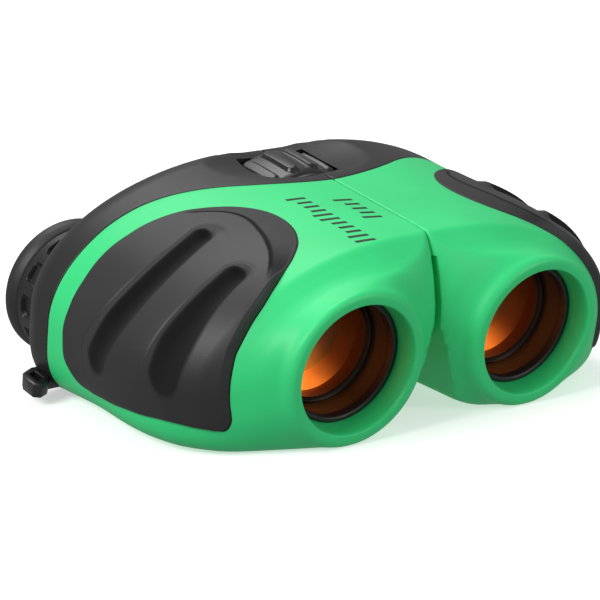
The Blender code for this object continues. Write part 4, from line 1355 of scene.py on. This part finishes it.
def wheel_edge(face_y, inward):
    """Rings of the drum's rounded edge, from a flat face out to the rim."""
    shoulder = WHEEL_R - WHEEL_CROWN
    return [circle_ring(shoulder - WHEEL_EDGE * (1 - math.sin(turn)),
                        face_y + inward * WHEEL_EDGE * (1 - math.cos(turn)), WHEEL_AXIS, WHEEL_ANGLES)
            for turn in np.linspace(0, math.pi / 2, 5)]


def focus_drum():
    """The ribbed drum, from the middle of its front face round to the middle of its back."""
    front, back = WHEEL_Y
    pitch = 2 * math.pi / WHEEL_RIBS
    off = (np.mod(WHEEL_ANGLES + pitch / 2, pitch) - pitch / 2) * WHEEL_R
    rings = [circle_ring(radius, front, WHEEL_AXIS, WHEEL_ANGLES) for radius in (0.0, 6.0, 11.0)]
    rings += wheel_edge(front, 1)
    for y in np.linspace(front + WHEEL_EDGE, back - WHEEL_EDGE, 48)[1:-1]:
        from_middle = abs(y - (front + back) / 2)
        past_end = max(0.0, from_middle - BAR_HALF_LENGTH)
        bar = 1 - ease((np.hypot(off, past_end) - BAR_HALF_WIDTH) / BAR_FLANK)
        drum = WHEEL_R - WHEEL_CROWN * (from_middle / (back - front) * 2)**2
        rings.append(circle_ring(drum + WHEEL_RIB * bar, y, WHEEL_AXIS, WHEEL_ANGLES))
    rings += wheel_edge(back, -1)[::-1]
    rings += [circle_ring(radius, back, WHEEL_AXIS, WHEEL_ANGLES) for radius in (11.0, 6.0, 0.0)]
    return wrapped_grid(rings)


drum_piece = finish_piece("focus_drum", focus_drum(), "left", "focus_wheel", wheel_rubber,
                          ("focus_wheel",))
print(drum_piece.name, len(drum_piece.data.polygons), "faces")

# %% [markdown]
# ## Printed scale
# The real case carries a printed marking on the top of the right half. A generic scale of slanted
# ticks in two rows stands in for it: each tick is a thin slab of ink laid on the skin.

# %% Ink ticks, in rows of (distance from the seam, first tick, last tick, pitch)
TICK_WIDTH = 0.9
TICK_SLANT = 0.25
TICK_ROWS = ((3.6, 31.5, 21.5, 2.5), (12.0, 36.0, 12.5, 2.35))
TALL_TICK = 4.0
SHORT_TICK = 3.0
INK_PROUD = 0.03
INK_THICK = 0.12
INSIDE_Z = 5.0


def ink_tick(bm, y, near, height):
    """One slanted tick of the scale, from its foot towards the seam."""
    face = bmesh.ops.create_grid(bm, x_segments=5, y_segments=1, size=0.5)["verts"]
    for vert in face:
        across = vert.co.x + 0.5
        x = near + height * across
        along = y + vert.co.y * TICK_WIDTH + TICK_SLANT * height * across
        top = reach_skin(np.array([[x, along, INSIDE_Z]]), np.array([[0.0, 0.0, 1.0]]))[0, 2]
        vert.co = (x, along, top + INK_PROUD)
    faces = list({item for vert in face for item in vert.link_faces})
    raised = bmesh.ops.extrude_face_region(bm, geom=faces, use_keep_orig=True)["geom"]
    foot = [item for item in raised if isinstance(item, bmesh.types.BMVert)]
    bmesh.ops.translate(bm, vec=(0, 0, -INK_THICK), verts=foot)


ticks = bmesh.new()
for row_near, row_start, row_end, pitch in TICK_ROWS:
    for number in range(int((row_start - row_end) / pitch) + 1):
        height = TALL_TICK if number % 5 in (0, 4) else SHORT_TICK
        ink_tick(ticks, row_start - number * pitch, row_near, height)
bmesh.ops.recalc_face_normals(ticks, faces=ticks.faces)
scale_piece = finish_piece("printed_scale", ticks, "right", "right_half", marking_ink)
print(scale_piece.name, len(scale_piece.data.polygons), "faces")

# %% [markdown]
# ## Strap lugs
# A small glossy eye stands out beside each housing's lower rear corner, for a wrist cord. It is a
# flat plate with a slot, its corners cut off and every edge softly rounded.

# %% Strap lugs
LUG_OUTLINE = ((50.5, 59.5), (50.5, 64.8), (56.6, 64.8), (59.4, 63.2), (60.2, 61.4), (60.2, 57.4),
               (58.8, 56.4), (56.8, 57.4), (55.4, 59.3))
LUG_SLOT = ((56.6, 59.6), (56.6, 62.9), (58.4, 62.2), (58.4, 58.4))
LUG_Z = (-23.2, -20.2)
LUG_EDGE = 0.35


def strap_lug():
    """The lug's plate with its slot, bevelled all round."""
    bm = bmesh.new()
    loops = []
    for outline in (LUG_OUTLINE, LUG_SLOT):
        verts = [bm.verts.new((x, y, LUG_Z[0])) for x, y in outline]
        loops.append([bm.edges.new(pair) for pair in zip(verts, verts[1:] + verts[:1])])
    bmesh.ops.triangle_fill(bm, use_beauty=True, edges=loops[0] + loops[1])
    raised = bmesh.ops.extrude_face_region(bm, geom=list(bm.faces), use_keep_orig=True)
    top = [item for item in raised["geom"] if isinstance(item, bmesh.types.BMVert)]
    bmesh.ops.translate(bm, vec=(0, 0, LUG_Z[1] - LUG_Z[0]), verts=top)
    bmesh.ops.recalc_face_normals(bm, faces=bm.faces)
    bmesh.ops.dissolve_limit(bm, angle_limit=0.01, verts=bm.verts, edges=bm.edges)
    sharp = [edge for edge in bm.edges if edge.calc_face_angle(0) > math.radians(25)]
    bmesh.ops.bevel(bm, geom=sharp, offset=LUG_EDGE, offset_type="OFFSET", segments=3, profile=0.5,
                    affect="EDGES", material=-1, clamp_overlap=True)
    return bm


for side_name in SIDES:
    lug_piece = finish_piece(f"{side_name}_cord_lug", strap_lug(), side_name, f"{side_name}_half",
                             lug_plastic, (f"{side_name}_strap_lug",))
    print(lug_piece.name, len(lug_piece.data.polygons), "faces")
